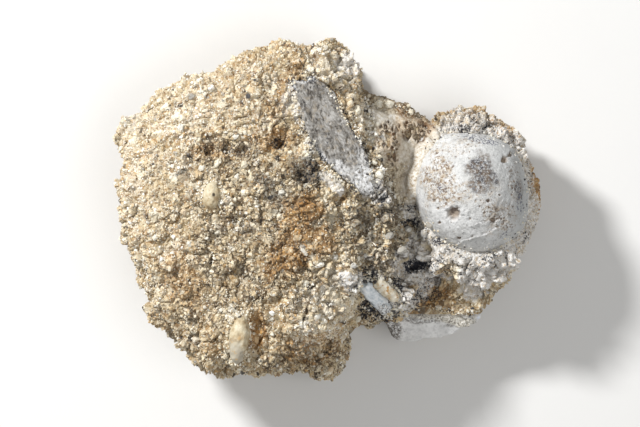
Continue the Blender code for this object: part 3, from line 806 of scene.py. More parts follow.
def makeBallPaint():
    paint = Paint("chalkyBone")
    chalk = paint.ramp(paint.noise(6, 5), ballLook["chalk"])
    clouds = paint.grade(paint.noise(1.0, 6, rough=0.8), 0.34, 0.58, 0.67, 1.15)
    colour = paint.shaded(chalk, clouds)
    tan = paint.broken("worn", paint.noise(1.6, 5, rough=0.75), 0.46, 0.60, 0.0, 0.8)
    colour = paint.mix(tan, colour, ballLook["tan"])
    # grey on the right side and low on the ball: partly the bone's own grey, partly painted shade
    greyAndShade = paint.maths("MULTIPLY", paint.layer("greyAndShade"), 0.8)
    colour = paint.mix(greyAndShade, colour, ballLook["grey"])
    stain = paint.broken("manganese", paint.noise(0.8, 5, rough=0.8), 0.37, 0.55, 0.16, 1.0)
    colour = paint.mix(stain, colour, paint.ramp(paint.noise(1.6, 3), ballLook["stain"]))
    streak = paint.broken("blueStreaks", paint.noise(0.8, 4, rough=0.75), 0.48, 0.56)
    colour = paint.mix(streak, colour, ballLook["blue"])
    # brown marks with ragged outlines, thick where the surface is worn
    mark = paint.raised(paint.noise(0.9, 5, rough=0.75, warp=0.6), "worn", 0.115)
    colour = paint.mix(paint.grade(mark, 0.635, 0.685, 0.0, 0.9), colour, ballLook["mark"])
    colour = paint.mix(paint.layer("pit"), colour, paint.ramp(paint.noise(1.0, 2), ballLook["pitFloor"]))
    rind = paint.ramp(paint.noise(1.3, 5, rough=0.75), ballLook["neckRind"])
    colour = paint.mix(paint.layer("neck"), colour, rind)
    fine = paint.bump(paint.noise(0.38, 3, rough=0.7), 0.28)
    return paint.finish(colour, 0.82, paint.bump(paint.noise(1.1, 5, rough=0.7), 0.75, fine))


# x and y of the line that the broken neck ends on
neckLine = [(-20.0, 60.0), (8.0, 41.5), (12.2, 39.9), (14.6, 38.2), (19.2, 37.1), (22.3, 35.5), (25.9, 35.0),
    (28.3, 33.7), (29.6, 31.4), (31.5, 30.2), (34.5, 29.6), (60.0, 60.0)]


def withinNeckLine(points, cover, gap=0.0):
    # the broken neck ends along a ragged line, seen from above
    lineX, lineY = (np.array(column) for column in zip(*neckLine))
    limit = np.interp(points[:, 0], lineX, lineY) + 0.8 * roughness(points, 2.5, 3, 890) - gap
    result = points.copy()
    result[:, 1] = np.where(cover, np.minimum(points[:, 1], limit), points[:, 1])
    return result


def shapedBall(rest, grid):
    # the head drawn out to a full ball, and how far each point belongs to it
    offset = (rest - ballMiddle) / ballLook["radii"]
    reach = np.linalg.norm(offset, axis=1)
    onBall = 1 - ease(np.abs(reach - 1), 0.05, 0.10)
    high = (rest[:, 2] > ballMiddle[2] + 4) & (rest[:, 0] > ballLook["left"]) & (reach > 0.8)
    onBall = np.maximum(onBall, high)
    rest = ballMiddle + (rest - ballMiddle) * (1 + onBall * (1 / np.maximum(reach, 0.2) - 1))[:, None]
    # the cap spreads to its edge, and the neck goes under the saddle
    radius, angle = fromBall(rest)
    swell = (ballOutline(angle) - ballLook["waist"]) * ease(radius, 11, 17.4) * ease(onBall, 0.4, 0.9)
    swell *= ease(rest[:, 2], ballMiddle[2] - 6, ballMiddle[2] + 2)
    away = (rest[:, :2] - ballMiddle[:2]) / np.maximum(radius, 1)[:, None]
    rest[:, :2] += away * swell[:, None]
    neck = onBall < 0.5
    rest = np.where(neck[:, None], lowerUnder(rest, grid, matrixLook["saddleGap"]), rest)
    return withinNeckLine(rest, neck), onBall


def makeHumerus(grid):
    bone = copyOf("humerusHead", "humerus")
    evened(bone, ballLook["step"], 1)
    rest = pointsOf(bone)
    shown = (rest[:, 2] > ballMiddle[2] + 3) & (rest[:, 0] > ballLook["left"] - 2)
    refine(bone, shown)
    rest, onBall = shapedBall(pointsOf(bone), grid)
    neck = onBall < 0.5
    setPoints(bone, rest)
    normals = normalsOf(bone)
    top = ease(rest[:, 2], ballMiddle[2] + 1, ballMiddle[2] + 5) * (onBall > 0.5)
    worn = patches(rest, ballLook["worn"], 0.8, 300) * top
    manganese = patches(rest, ballLook["manganese"], 0.9, 310) * top
    streaks = patches(rest, ballLook["blueStreaks"], 0.8, 320) * top
    relief = 0.24 * roughness(rest, 7, 3, 330) + 0.17 * roughness(rest, 1.6, 3, 335)
    relief += 0.07 * bumps(rest, 0.7, 338)
    depth, inside = pinch(rest, [ballLook["drill"]], 0.22, 340)
    small, smallInside = pinch(rest, ballLook["pits"], 0.55, 345)
    x, y, radius, rise = ballLook["knob"]
    away = awayFrom(rest, x, y) / radius
    relief += top * rise * (1 - ease(away, 0.3, 1.1)) * (0.6 + bumps(rest, 0.9, 348))
    for line, height in zip(ballLook["ridges"], ballLook["ridgeHeights"]):
        gap = lineDistance(rest + 0.5 * bumps(rest, 1.2, 350)[:, None], line)
        relief += top * height * (1 - ease(gap, 0.1, 0.5))
    pit = speckle(wavy(rest, 0.9, 0.3, 355), 0.03 + 0.35 * worn, 1.15, 360) * top
    fine = speckle(rest, 0.02 + 0.4 * worn, 0.75, 375) * top
    eaten = 0.15 * manganese * (0.5 + roughness(rest, 1.2, 2, 390))
    relief -= top * (depth + small) + 0.30 * pit + 0.18 * fine + eaten
    # the broken rind of the neck is as coarse as the matrix
    grain = grainRelief(rest, 1.2)[0]
    clod = clodRelief(rest)[0]
    relief = np.where(neck, 0.9 * grain + 0.7 * clod, relief)
    setPoints(bone, rest + normals * relief[:, None])
    store(bone, "worn", worn)
    store(bone, "manganese", manganese)
    store(bone, "blueStreaks", streaks)
    holes = np.maximum.reduce([0.8 * pit, 0.8 * fine, 0.95 * smallInside * top, 0.9 * inside * top])
    store(bone, "pit", np.clip(holes, 0, 1))
    # the right side, turned from the lamp, is greyer: partly the bone's own grey, partly painted shade
    side = ease(rest[:, 0] + 0.25 * rest[:, 1] + 3 * roughness(rest, 8, 3, 395), 54, 64)
    store(bone, "greyAndShade", top * np.maximum(side, patches(rest, ballLook["greyAndShade"], 0.5, 397)))
    store(bone, "neck", 1 - np.clip(onBall, 0, 1))
    thinned(bone, ballLook["facets"])
    finishPiece(bone, makeBallPaint(), "chalky_bone", "humerus")
    return bone


# The broken neck of the bone: spongy cells, a smooth sheet that runs down into a groove, and the
# thin lip beside the ball. It is a height map over the CAD solids. Places are x, y.
saddleLook = {
    "step": 0.22,
    "corner": (11.0, 0.0),
    "span": (28.0, 39.0),
    "outline": [(14.0, 39.0), (13.4, 30.0), (15.0, 24.0), (16.5, 18.0), (19.0, 12.0), (21.5, 6.0),
        (23.0, 2.5), (27.5, 1.5), (38.0, 4.0), (38.0, 25.0), (35.5, 28.0), (32.5, 30.5), (27.0, 36.0),
        (20.0, 38.5)],
    # y, x and z along the bottom of the groove
    "groove": [(0.0, 23.6, 37.2), (5.0, 24.2, 37.4), (10.6, 25.4, 37.8), (16.8, 28.0, 38.5),
        (22.0, 31.5, 39.2), (28.0, 35.0, 38.2), (40.0, 38.0, 36.5)],
    "wallSlope": 0.90,
    # heights under the ball, and where there is no solid
    "underBall": 37.0,
    "lowest": 24.0,
    "thickness": 1.2,
    # degrees round the ball where the lip runs, and its size
    "lip": {"from": 112.0, "to": 206.0, "width": 2.6, "height": 40.9, "fall": 1.6},
    # x, y, radius, depth
    "cells": [(26.6, 25.0, 1.15, 2.2), (29.2, 24.6, 1.15, 2.2), (31.2, 23.9, 1.25, 2.2),
        (28.3, 27.3, 0.8, 1.8), (29.6, 27.1, 0.55, 1.5), (27.3, 28.0, 0.55, 1.4), (26.1, 29.0, 0.55, 1.4),
        (25.9, 27.6, 0.65, 1.0), (31.1, 26.4, 0.65, 1.6), (32.0, 25.3, 0.55, 1.4), (32.6, 27.4, 0.7, 1.6),
        (30.6, 27.9, 0.5, 1.2), (34.4, 29.0, 0.45, 1.0), (35.2, 27.6, 0.4, 0.8), (33.8, 26.4, 0.45, 1.0),
        (19.9, 25.0, 1.35, 2.2), (18.0, 25.7, 0.7, 1.6), (17.1, 23.8, 0.95, 1.4), (17.4, 27.4, 0.65, 1.3),
        (21.8, 25.2, 0.8, 1.5), (22.0, 23.7, 0.65, 1.2), (19.5, 23.0, 1.1, 1.8), (18.3, 21.8, 0.65, 1.3),
        (21.1, 20.9, 0.65, 1.3), (21.3, 19.8, 0.5, 1.2), (22.5, 20.4, 0.5, 1.0), (22.7, 22.6, 0.5, 1.0),
        (20.7, 18.1, 0.5, 1.0), (20.2, 16.7, 0.45, 0.9), (20.2, 29.4, 0.5, 0.8), (17.0, 21.0, 0.5, 1.0),
        (24.6, 26.0, 0.35, 0.6)],
    "spongy": [(29.0, 26.0, 6.0, 3.6, -10, 1.0), (19.5, 23.5, 3.8, 5.2, 10, 1.0),
        (21.0, 17.0, 2.2, 5.4, 10, 1.0), (33.5, 28.0, 3.0, 2.0, -30, 0.8)],
    "amber": [(29.0, 27.0, 7.4, 4.4, -20, 1.0), (19.8, 23.0, 4.2, 6.0, 10, 1.0),
        (21.2, 17.0, 2.4, 6.0, 8, 1.0), (33.5, 21.5, 2.0, 3.0, -50, 0.5)],
    "rind": [(20.0, 35.5, 9.0, 3.2, -8, 1.0), (27.0, 33.0, 5.0, 2.2, -20, 1.0),
        (13.6, 28.0, 1.8, 6.0, 5, 1.0), (16.2, 17.0, 1.7, 6.0, 14, 1.0), (21.6, 8.5, 3.6, 9.0, 14, 1.0),
        (24.2, 12.5, 2.0, 4.0, -20, 1.0)],
    "brown": [(26.0, 33.5, 4.6, 3.0, -20, 1.0), (32.5, 29.0, 4.0, 1.8, -30, 0.9)],
    "shade": [(28.5, 19.5, 5.0, 3.4, 50, 0.35), (25.3, 10.0, 1.4, 6.0, -15, 0.5)],
    "sheet": [(0.32, (0.33, 0.26, 0.18)), (0.46, (0.56, 0.50, 0.40)), (0.62, (0.75, 0.72, 0.66))],
    "wall": [(0.32, (0.26, 0.165, 0.08)), (0.44, (0.44, 0.33, 0.21)), (0.56, (0.62, 0.53, 0.41)),
        (0.68, (0.72, 0.67, 0.58))],
    "rindTones": [(0.32, (0.15, 0.11, 0.07)), (0.46, (0.42, 0.35, 0.25)), (0.58, (0.57, 0.50, 0.38)),
        (0.68, (0.70, 0.66, 0.58))],
    "brownWash": (0.40, 0.26, 0.14),
    "band": [(0.38, (0.34, 0.25, 0.15)), (0.48, (0.62, 0.555, 0.45)), (0.60, (0.79, 0.775, 0.735))],
    "shadeWash": (0.30, 0.27, 0.235),
    "speck": (0.12, 0.085, 0.055),
    "cellFloor": [(0.42, (0.062, 0.034, 0.02)), (0.60, (0.19, 0.105, 0.05))],
}


def ballOutline(angle):
    # how far out the ball's edge shows, seen from above
    turns, reaches = zip(*ballLook["edge"])
    return np.interp(angle, turns, reaches, period=360)


def fromBall(points):
    # how far each point is from the ball's middle, seen from above, and in which direction
    dx = points[:, 0] - ballMiddle[0]
    dy = points[:, 1] - ballMiddle[1]
    return np.hypot(dx, dy), np.degrees(np.arctan2(dy, dx)) % 360


def insideOutline(points, outline, fray, seed):
    # how far inside a closed outline each point is, negative outside it
    closed = outline + outline[:1]
    distance = lineDistance(points, closed)
    inside = np.zeros(len(points), bool)
    for (ax, ay), (bx, by) in zip(closed, closed[1:]):
        crosses = (ay > points[:, 1]) != (by > points[:, 1])
        run = (bx - ax) * (points[:, 1] - ay) / (by - ay if by != ay else 1e-9) + ax
        inside ^= crosses & (points[:, 0] < run)
    flat = points * (1, 1, 0)
    return np.where(inside, distance, -distance) + fray * roughness(flat, 3, 3, seed)


def alongFibres(points, degrees, squeeze):
    # the points with the fibre direction shortened, for noise that runs in streaks
    along, across = turnedFrom(points, 0, 0, degrees)
    return np.stack([along / squeeze, across, points[:, 2]], axis=1)


def makeSaddlePaint():
    paint = Paint("spongyBone")
    # spongy bone first, then rind, brown stain, the lip's band, painted shade in the groove, specks and the
    # floors of the cells
    sheet = paint.ramp(paint.noise(1.4, 5, rough=0.7), saddleLook["sheet"])
    wall = paint.ramp(paint.noise(0.8, 5, rough=0.7), saddleLook["wall"])
    colour = paint.mix(paint.maths("MULTIPLY", paint.layer("amber"), 0.9), sheet, wall)
    rind = paint.ramp(paint.noise(1.3, 5, rough=0.75), saddleLook["rindTones"])
    colour = paint.mix(paint.layer("rind"), colour, rind)
    brown = paint.broken("brown", paint.noise(1.2, 4, rough=0.7), 0.38, 0.56, 0.25, 1.0)
    colour = paint.mix(brown, colour, saddleLook["brownWash"], "MULTIPLY")
    band = paint.ramp(paint.noise(0.9, 5, rough=0.75), saddleLook["band"])
    colour = paint.mix(paint.layer("lip"), colour, band)
    shade = paint.broken("shade", paint.noise(1.8, 4), 0.30, 0.60, 0.45, 0.85)
    colour = paint.mix(shade, colour, saddleLook["shadeWash"])
    speck = paint.grade(paint.noise(0.5, 4, rough=0.75), 0.63, 0.69)
    colour = paint.mix(paint.maths("MULTIPLY", speck, 0.85), colour, saddleLook["speck"])
    cell = paint.ramp(paint.noise(1.0, 2), saddleLook["cellFloor"])
    colour = paint.mix(paint.layer("cell"), colour, cell)
    fine = paint.bump(paint.noise(0.35, 3, rough=0.7), 0.10)
    return paint.finish(colour, 0.78, paint.bump(paint.noise(1.1, 5, rough=0.65), 0.26, fine))


def heightsOver(places, reach, trees, step, wide, deep):
    # the heights of the solids below a grid of places, smoothed
    height = np.full(len(places), np.nan)
    for index, (x, y) in enumerate(places[:, :2]):
        if reach[index] < ballLook["waist"]:
            height[index] = saddleLook["underBall"]
            continue
        for tree in trees:
            top = topOf(tree, x, y)
            if top is not None:
                height[index] = np.fmax(height[index], top)
    height = np.where(np.isnan(height), saddleLook["lowest"], height).reshape(wide, deep)
    for turn in range(int(1.2 / step) ** 2 + 1):
        padded = np.pad(height, 1, mode="edge")
        around = padded[:-2, 1:-1] + padded[2:, 1:-1] + padded[1:-1, :-2] + padded[1:-1, 2:]
        height = (around + 2 * height) / 6
    return height.ravel()


def lipBeside(places, reach, angle):
    # the lip swells beside the ball and runs out into the groove: its height, and where it is
    lip = saddleLook["lip"]
    here = ease(angle, lip["from"], lip["from"] + 18) * (1 - ease(angle, lip["to"] - 24, lip["to"]))
    across = (reach - ballOutline(angle)) / lip["width"] + 0.15 * roughness(places, 2.5, 3, 803)
    crest = lip["height"] - lip["fall"] * ease(angle, 150, 205) - 1.3 * np.maximum(across, 0)
    crest -= 3.2 * ease(across, 0.80, 2.0)
    onLip = here * (1 - ease(across, 0.95, 1.5)) * ease(across, -0.2, 0.0)
    return crest - 9 * (1 - here) - 8 * ease(across, 1.7, 2.1), onLip


def makeSaddle(trees):
    # a sheet of bone beside the ball, on an even grid of places
    step = saddleLook["step"]
    wide = int(saddleLook["span"][0] / step)
    deep = int(saddleLook["span"][1] / step)
    column, row = np.meshgrid(np.arange(wide), np.arange(deep), indexing="ij")
    places = np.stack([saddleLook["corner"][0] + column.ravel() * step,
        saddleLook["corner"][1] + row.ravel() * step, np.zeros(wide * deep)], axis=1)
    reach, angle = fromBall(places)
    height = heightsOver(places, reach, trees, step, wide, deep)
    # left of the groove's bottom the sheet stays under a sloping wall
    grooveY, grooveX, grooveZ = (np.array(column) for column in zip(*saddleLook["groove"]))
    bottomX = np.interp(places[:, 1], grooveY, grooveX)
    bottomZ = np.interp(places[:, 1], grooveY, grooveZ)
    wall = bottomZ + saddleLook["wallSlope"] * np.maximum(bottomX - places[:, 0], 0)
    blend = ease(places[:, 1], 18, 26)
    height = np.where(places[:, 0] < bottomX + 4, np.minimum(height, wall + 6 * blend), height)
    crest, onLip = lipBeside(places, reach, angle)
    height = np.maximum(height, crest)
    depth = insideOutline(places, saddleLook["outline"], 1.0, 810)
    mask = ease(depth, -0.3, 1.2)
    grid = {"step": step, "wide": wide, "deep": deep, "height": height, "mask": mask}
    # spongy ground, open cells, a comb of small hollows, and grit on the rind
    spots = np.stack([places[:, 0], places[:, 1], height], axis=1)
    spongy = patches(spots, saddleLook["spongy"], 0.5, 820) * (1 - onLip)
    cellDepth, cellInside = pinch(wavy(places, 1.2, 0.25, 825), saddleLook["cells"], 0.25, 830)
    owner, _, border = grainCells(wavy(alongFibres(places, 105, 1.8), 1.6, 0.5, 835), 1.5, 0.15, 840)
    comb = spongy * ease(border, 0.13, 0.36) * (cellNumber(owner, 845) < 0.72)
    rind = patches(spots, saddleLook["rind"], 0.5, 850)
    grains = grainRelief(spots, 1.3)[0]
    clod = clodRelief(spots)[0]
    relief = 0.45 * roughness(places, 5, 3, 855) + (0.26 + 0.16 * onLip) * roughness(places, 1.3, 3, 860)
    relief += 0.6 * roughness(places, 2.4, 3, 865) * spongy + rind * (0.9 * grains + 0.6 * clod)
    relief -= 0.8 * cellDepth + 1.3 * comb
    spots[:, 2] = height + relief + 0.45 - 2.6 * (1 - mask)
    spots = withinNeckLine(spots, np.ones(len(spots), bool))
    # only faces in or close to the outline, and clear of the ball's middle
    number = np.arange(wide * deep).reshape(wide, deep)
    quads = np.stack([number[:-1, :-1], number[1:, :-1], number[1:, 1:], number[:-1, 1:]],
        axis=-1).reshape(-1, 4)
    kept = quads[(depth[quads] > -1.2).all(axis=1) & (reach[quads] > 15.5).all(axis=1)]
    used, faces = np.unique(kept, return_inverse=True)
    saddle = pieceFrom("neckSaddle", spots[used], faces.reshape(-1, 4))
    store(saddle, "cell", np.clip(np.maximum(cellInside, 0.85 * comb), 0, 1)[used])
    store(saddle, "amber", (patches(spots, saddleLook["amber"], 0.5, 870) * (1 - onLip))[used])
    store(saddle, "rind", rind[used])
    store(saddle, "brown", patches(spots, saddleLook["brown"], 0.5, 875)[used])
    store(saddle, "lip", onLip[used])
    store(saddle, "shade", (patches(spots, saddleLook["shade"], 0.5, 880) * (1 - 0.8 * onLip))[used])
    # the sheet gets its thickness downward
    solid = saddle.modifiers.new("solid", "SOLIDIFY")
    solid.thickness = saddleLook["thickness"] * mm
    solid.offset = -1
    settle(saddle)
    setPoints(saddle, pointsOf(saddle))
    finishPiece(saddle, makeSaddlePaint(), "chalky_bone", "humerus")
    return saddle, grid


def saddleOver(points, grid):
    # height and cover of the saddle above each point
    low = np.array(saddleLook["corner"])
    column = np.clip(((points[:, 0] - low[0]) / grid["step"]).astype(int), 0, grid["wide"] - 1)
    row = np.clip(((points[:, 1] - low[1]) / grid["step"]).astype(int), 0, grid["deep"] - 1)
    spot = column * grid["deep"] + row
    over = np.all((points[:, :2] > low) & (points[:, :2] < low + saddleLook["span"]), axis=1)
    return grid["height"][spot], grid["mask"][spot] * over


def lowerUnder(points, grid, gap):
    # what the saddle covers goes down beneath it
    height, cover = saddleOver(points, grid)
    lowered = np.minimum(points[:, 2], height - gap)
    share = cover * (points[:, 2] > height - 14)
    result = points.copy()
    result[:, 2] = points[:, 2] + share * (lowered - points[:, 2])
    return result


def boneTrees(names):
    trees = []
    for name in names:
        low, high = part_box(name)
        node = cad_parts[name]
        tree = BVHTree.FromPolygons([vert.co.copy() for vert in node.data.vertices],
            [tuple(face.vertices) for face in node.data.polygons])
        trees.append((np.array(low) / mm, np.array(high) / mm, tree))
    return trees


def within(tree, spot):
    # an odd number of crossings means that the spot is inside
    way = Vector((1, 0, 0))
    crossings = 0
    hit = tree.ray_cast(spot, way)[0]
    while hit is not None:
        crossings += 1
        hit = tree.ray_cast(hit + 0.01 * mm * way, way)[0]
    return crossings % 2 == 1


def tuckUnder(points, trees, reach, depth):
    # skin that lies on a bone goes under the bone's surface; the rest keeps its place
    moved = points.copy()
    far = matrixLook["searchReach"]
    clear = np.full(len(points), far)
    for low, high, tree in trees:
        near = np.all((points > low - far) & (points < high + far), axis=1)
        for index in np.flatnonzero(near):
            spot = Vector(points[index] * mm)
            found, normal, _, distance = tree.find_nearest(spot)
            inside = (spot - found).dot(normal) < 0 and within(tree, spot)
            signed = (-distance if inside else distance) / mm
            if signed < clear[index]:
                clear[index] = signed
                if signed < reach:
                    moved[index] = np.array(found - normal * depth * mm) / mm
    return moved, clear


# The broken shaft wall: a grey fibrous slab, frosted white at its lower end.
slabLook = {
    "step": 0.30,
    # the degrees that the fibres run at, how stretched they are, and how ragged the edges
    "fibres": -57.0,
    "stretch": 2.2,
    "fray": 1.3,
    "outline": [(-11.4, 41.9), (-7.6, 43.4), (-3.3, 42.9), (1.7, 39.8), (3.1, 36.2), (6.2, 30.6), (7.9, 27.3),
        (11.0, 21.2), (12.5, 17.4), (13.9, 12.6), (15.4, 6.4), (13.4, 5.0), (10.5, 5.5), (7.7, 8.3),
        (4.8, 11.7), (1.5, 13.1), (-0.9, 15.5), (-4.7, 21.2), (-7.1, 26.0), (-7.8, 30.7), (-9.5, 35.5)],
    "frost": [(12.5, 10.5, 6.0, 4.4, -55, 1.0), (14.5, 7.0, 3.0, 3.0, 0, 1.0),
        (5.0, 14.0, 4.0, 1.6, -35, 0.8), (11.0, 17.5, 2.0, 3.0, 20, 0.5)],
    "rim": [(-11.6, 38.0, 1.4, 6.0, 8, 1.0), (-9.4, 28.0, 1.5, 7.0, 22, 1.0), (-2.8, 18.0, 1.6, 5.0, 45, 0.9),
        (-6.0, 43.0, 6.0, 1.2, 5, 0.6)],
    "shade": [(8.5, 27.0, 1.2, 5.0, 20, 0.8), (-3.0, 41.5, 4.0, 1.5, 0, 0.5), (13.5, 18.0, 1.2, 5.0, 20, 0.6),
        (-1.0, 24.0, 3.0, 1.2, -57, 0.6), (-7.0, 33.0, 4.0, 1.0, -57, 0.5)],
    "tones": [(0.38, (0.08, 0.07, 0.06)), (0.44, (0.185, 0.17, 0.15)), (0.51, (0.335, 0.32, 0.295)),
        (0.60, (0.52, 0.505, 0.48))],
    "pore": (0.13, 0.11, 0.09),
    "poreEdge": (0.19, 0.165, 0.135),
    "tint": (0.40, 0.33, 0.24),
    "white": (0.76, 0.76, 0.755),
    "speck": (0.035, 0.04, 0.055),
}


def makeSlabPaint():
    fibres = {"stretch": (slabLook["stretch"], 1, 1), "turn": slabLook["fibres"]}
    paint = Paint("fibrousBone")
    # long fibres, pores along them, a faint tint, white rims and dark specks
    strand = paint.noise(0.60, 5, rough=0.75, warp=0.8, **fibres)
    broad = paint.noise(2.4, 4, **fibres)
    tone = paint.maths("ADD", paint.maths("MULTIPLY", strand, 0.62), paint.maths("MULTIPLY", broad, 0.38))
    colour = paint.ramp(tone, slabLook["tones"])
    pores = paint.noise(0.65, 4, rough=0.7, warp=0.4, **fibres)
    colour = paint.mix(paint.grade(pores, 0.585, 0.66, 0.0, 0.7), colour, slabLook["pore"])
    colour = paint.mix(paint.maths("MULTIPLY", paint.layer("pores"), 0.40), colour, slabLook["poreEdge"])
    tint = paint.grade(paint.noise(1.5, 4), 0.52, 0.66, 0.0, 0.45)
    colour = paint.mix(tint, colour, slabLook["tint"])
    white = paint.maths("MAXIMUM", paint.layer("frost"), paint.layer("rim"))
    white = paint.maths("MULTIPLY", white, paint.grade(paint.noise(0.9, 4, rough=0.7), 0.40, 0.52))
    colour = paint.mix(white, colour, slabLook["white"])
    edges = paint.maths("ADD", paint.layer("rim"), paint.layer("shade"))
    speck = paint.maths("MULTIPLY_ADD", edges, 0.16, paint.noise(0.6, 4, rough=0.7))
    colour = paint.mix(paint.grade(speck, 0.64, 0.70), colour, slabLook["speck"])
    fine = paint.bump(tone, 0.60)
    return paint.finish(colour, 0.85, paint.bump(paint.noise(0.35, 3, rough=0.7), 0.09, fine))


def widthAlong(spots, steps):
    # the lowest and highest second coordinate along the first, smoothed
    edges = []
    for low, high in zip(steps, steps[1:]):
        here = spots[(spots[:, 0] >= low) & (spots[:, 0] <= high), 1]
        edges.append((here.min(), here.max()) if len(here) else edges[-1])
    edges = np.pad(np.array(edges), ((1, 1), (0, 0)), mode="edge")
    return (edges[:-2] + 2 * edges[1:-1] + edges[2:]) / 4


def fitOutline(points, outline, degrees):
    # the piece spread, along and across its length, to the outline it shows from above
    turn = math.radians(degrees)
    ways = np.array([[math.cos(turn), -math.sin(turn)], [math.sin(turn), math.cos(turn)]])
    spots = points[:, :2] @ ways
    corners = np.array(outline + outline[:1])
    wanted = np.concatenate([np.linspace(a, b, 40) for a, b in zip(corners, corners[1:])]) @ ways
    ends, newEnds = ((column.min(), column.max()) for column in (spots[:, 0], wanted[:, 0]))
    spots[:, 0] = np.interp(spots[:, 0], ends, newEnds)
    steps = np.linspace(newEnds[0] - 0.01, newEnds[1] + 0.01, 25)
    middles = (steps[1:] + steps[:-1]) / 2
    edges = np.concatenate([widthAlong(spots, steps), widthAlong(wanted, steps)], axis=1)
    low, high, newLow, newHigh = (np.interp(spots[:, 0], middles, column) for column in edges.T)
    spots[:, 1] = newLow + (spots[:, 1] - low) / np.maximum(high - low, 0.5) * (newHigh - newLow)
    return np.concatenate([spots @ ways.T, points[:, 2:]], axis=1)


def makeSlab():
    slab = copyOf("shaftSlab", "shaft_fragment")
    evened(slab, slabLook["step"], 2)
    rest = fitOutline(pointsOf(slab), slabLook["outline"], slabLook["fibres"])
    setPoints(slab, rest)
    normals = normalsOf(slab)
    # the edges are ragged
    edge = 1 - ease(normals[:, 2], 0.55, 0.97)
    outward = normals[:, :2] / np.maximum(np.linalg.norm(normals[:, :2], axis=1), 0.05)[:, None]
    shift = slabLook["fray"] * edge * roughness(rest * (1, 1, 0), 2.4, 3, 402)
    rest[:, :2] += outward * shift[:, None]
    streaks = alongFibres(rest, slabLook["fibres"], slabLook["stretch"])
    relief = 0.45 * roughness(streaks, 1.1, 3, 400) + 0.45 * roughness(rest, 5, 2, 405)
    pores = speckle(streaks, 0.62, 0.80, 410)
    relief -= 0.55 * pores
    frost = patches(rest, slabLook["frost"], 0.7, 420)
    relief += 0.45 * frost * roughness(rest, 1.3, 3, 425)
    relief += edge * 0.6 * roughness(rest, 1.8, 3, 430)
    setPoints(slab, rest + normals * relief[:, None])
    store(slab, "frost", frost)
    store(slab, "pores", pores)
    store(slab, "rim", patches(rest, slabLook["rim"], 0.8, 440))
    store(slab, "shade", np.maximum(patches(rest, slabLook["shade"], 0.8, 445), 0.5 * edge))
    finishPiece(slab, makeSlabPaint(), "grey_bone", "shaft_fragment")
    return slab


# The plate: clean broken bone at the lower edge.
plateLook = {
    "step": 0.34,
    "soiled": [(20.8, -39.6, 3.2, 3.8, -40, 1.0), (33.0, -36.0, 10.0, 1.4, 0, 0.8),
        (44.0, -37.2, 6.0, 1.2, 10, 0.8)],
    "frost": [(48.5, -35.0, 3.0, 2.5, 20, 1.0)],
    "crust": [(40.0, -36.0, 9.0, 1.7, -8, 1.0), (31.0, -34.8, 5.0, 1.2, 0, 0.8),
        (46.0, -36.4, 3.0, 1.4, 20, 0.8)],
    "tones": [(0.35, (0.74, 0.735, 0.72)), (0.60, (0.90, 0.895, 0.88))],
    "darkening": (0.17, 0.15, 0.125),
    "speck": (0.05, 0.05, 0.06),
    "white": (0.80, 0.85, 0.92),
    "crustTones": [(0.40, (0.10, 0.09, 0.085)), (0.48, (0.62, 0.57, 0.47)), (0.60, (0.86, 0.85, 0.81))],
}


def makePlatePaint():
    paint = Paint("plateBone")
    # cloudy bone, then soil, specks, white frost and crust
    colour = paint.ramp(paint.noise(5, 5), plateLook["tones"])
    cloud = paint.grade(paint.noise(1.2, 5, rough=0.65), 0.3, 0.65, 0.78, 1.06)
    colour = paint.shaded(colour, cloud)
    darkening = paint.broken("soiled", paint.noise(0.9, 5, rough=0.75), 0.38, 0.56)
    colour = paint.mix(darkening, colour, plateLook["darkening"])
    speck = paint.raised(paint.noise(0.5, 3, rough=0.7), "soiled", 0.12)
    colour = paint.mix(paint.grade(speck, 0.68, 0.73), colour, plateLook["speck"])
    white = paint.broken("frost", paint.noise(0.9, 3), 0.42, 0.55)
    colour = paint.mix(white, colour, plateLook["white"])
    crust = paint.ramp(paint.noise(0.7, 5, rough=0.75), plateLook["crustTones"])
    colour = paint.mix(paint.layer("crust"), colour, crust)
    return paint.finish(colour, 0.6, paint.bump(paint.noise(0.9, 5, rough=0.65), 0.26))


def makePlate():
    plate = copyOf("plateShard", "bone_plate")
    evened(plate, plateLook["step"], 2)
    rest = pointsOf(plate)
    normals = normalsOf(plate)
    # the inner edge dips under the matrix
    rest[:, 2] -= 1.6 * ease(rest[:, 1], -35.2, -33.6)
    side = 1 - ease(normals[:, 2], 0.4, 0.9)
    relief = 0.26 * roughness(rest, 7, 3, 500) + side * 0.9 * roughness(rest, 2.6, 3, 505)
    soiled = patches(rest, plateLook["soiled"], 0.7, 510)
    crust = patches(rest, plateLook["crust"], 0.8, 525)
    crusted = crust * (0.35 + 0.6 * roughness(rest, 1.2, 3, 530))
    relief += 0.3 * soiled * roughness(rest, 1.2, 2, 515) + crusted
    setPoints(plate, rest + normals * relief[:, None])
    store(plate, "soiled", soiled)
    store(plate, "crust", crust)
    store(plate, "frost", patches(rest, plateLook["frost"], 0.7, 520))
    finishPiece(plate, makePlatePaint(), "plate_bone", "bone_plate")
    return plate


# The splinter and the chip: the degrees of their length, and how much wider they are than the solids.
shardLook = {
    "step": 0.22,
    "turn": -42.0,
    "widen": {"bone_splinter": 1.28, "bone_chip": 1.2},
    "crust": {"bone_splinter": [(19.5, -33.0, 2.6, 2.0, -40, 1.0)],
        "bone_chip": [(21.8, -29.4, 1.6, 1.4, 0, 0.8)]},
    "enamel": [(0.34, (0.56, 0.62, 0.66)), (0.50, (0.76, 0.81, 0.84)), (0.64, (0.90, 0.92, 0.93))],
    "enamelEdge": (0.04, 0.045, 0.06),
    "enamelCrust": [(0.42, (0.06, 0.06, 0.07)), (0.50, (0.62, 0.60, 0.56)), (0.60, (0.86, 0.86, 0.85))],
    "amber": [(0.34, (0.60, 0.46, 0.27)), (0.50, (0.76, 0.68, 0.52)), (0.66, (0.84, 0.80, 0.70))],
    "amberRust": (0.50, 0.26, 0.07),
    "amberEdge": (0.06, 0.05, 0.045),
}


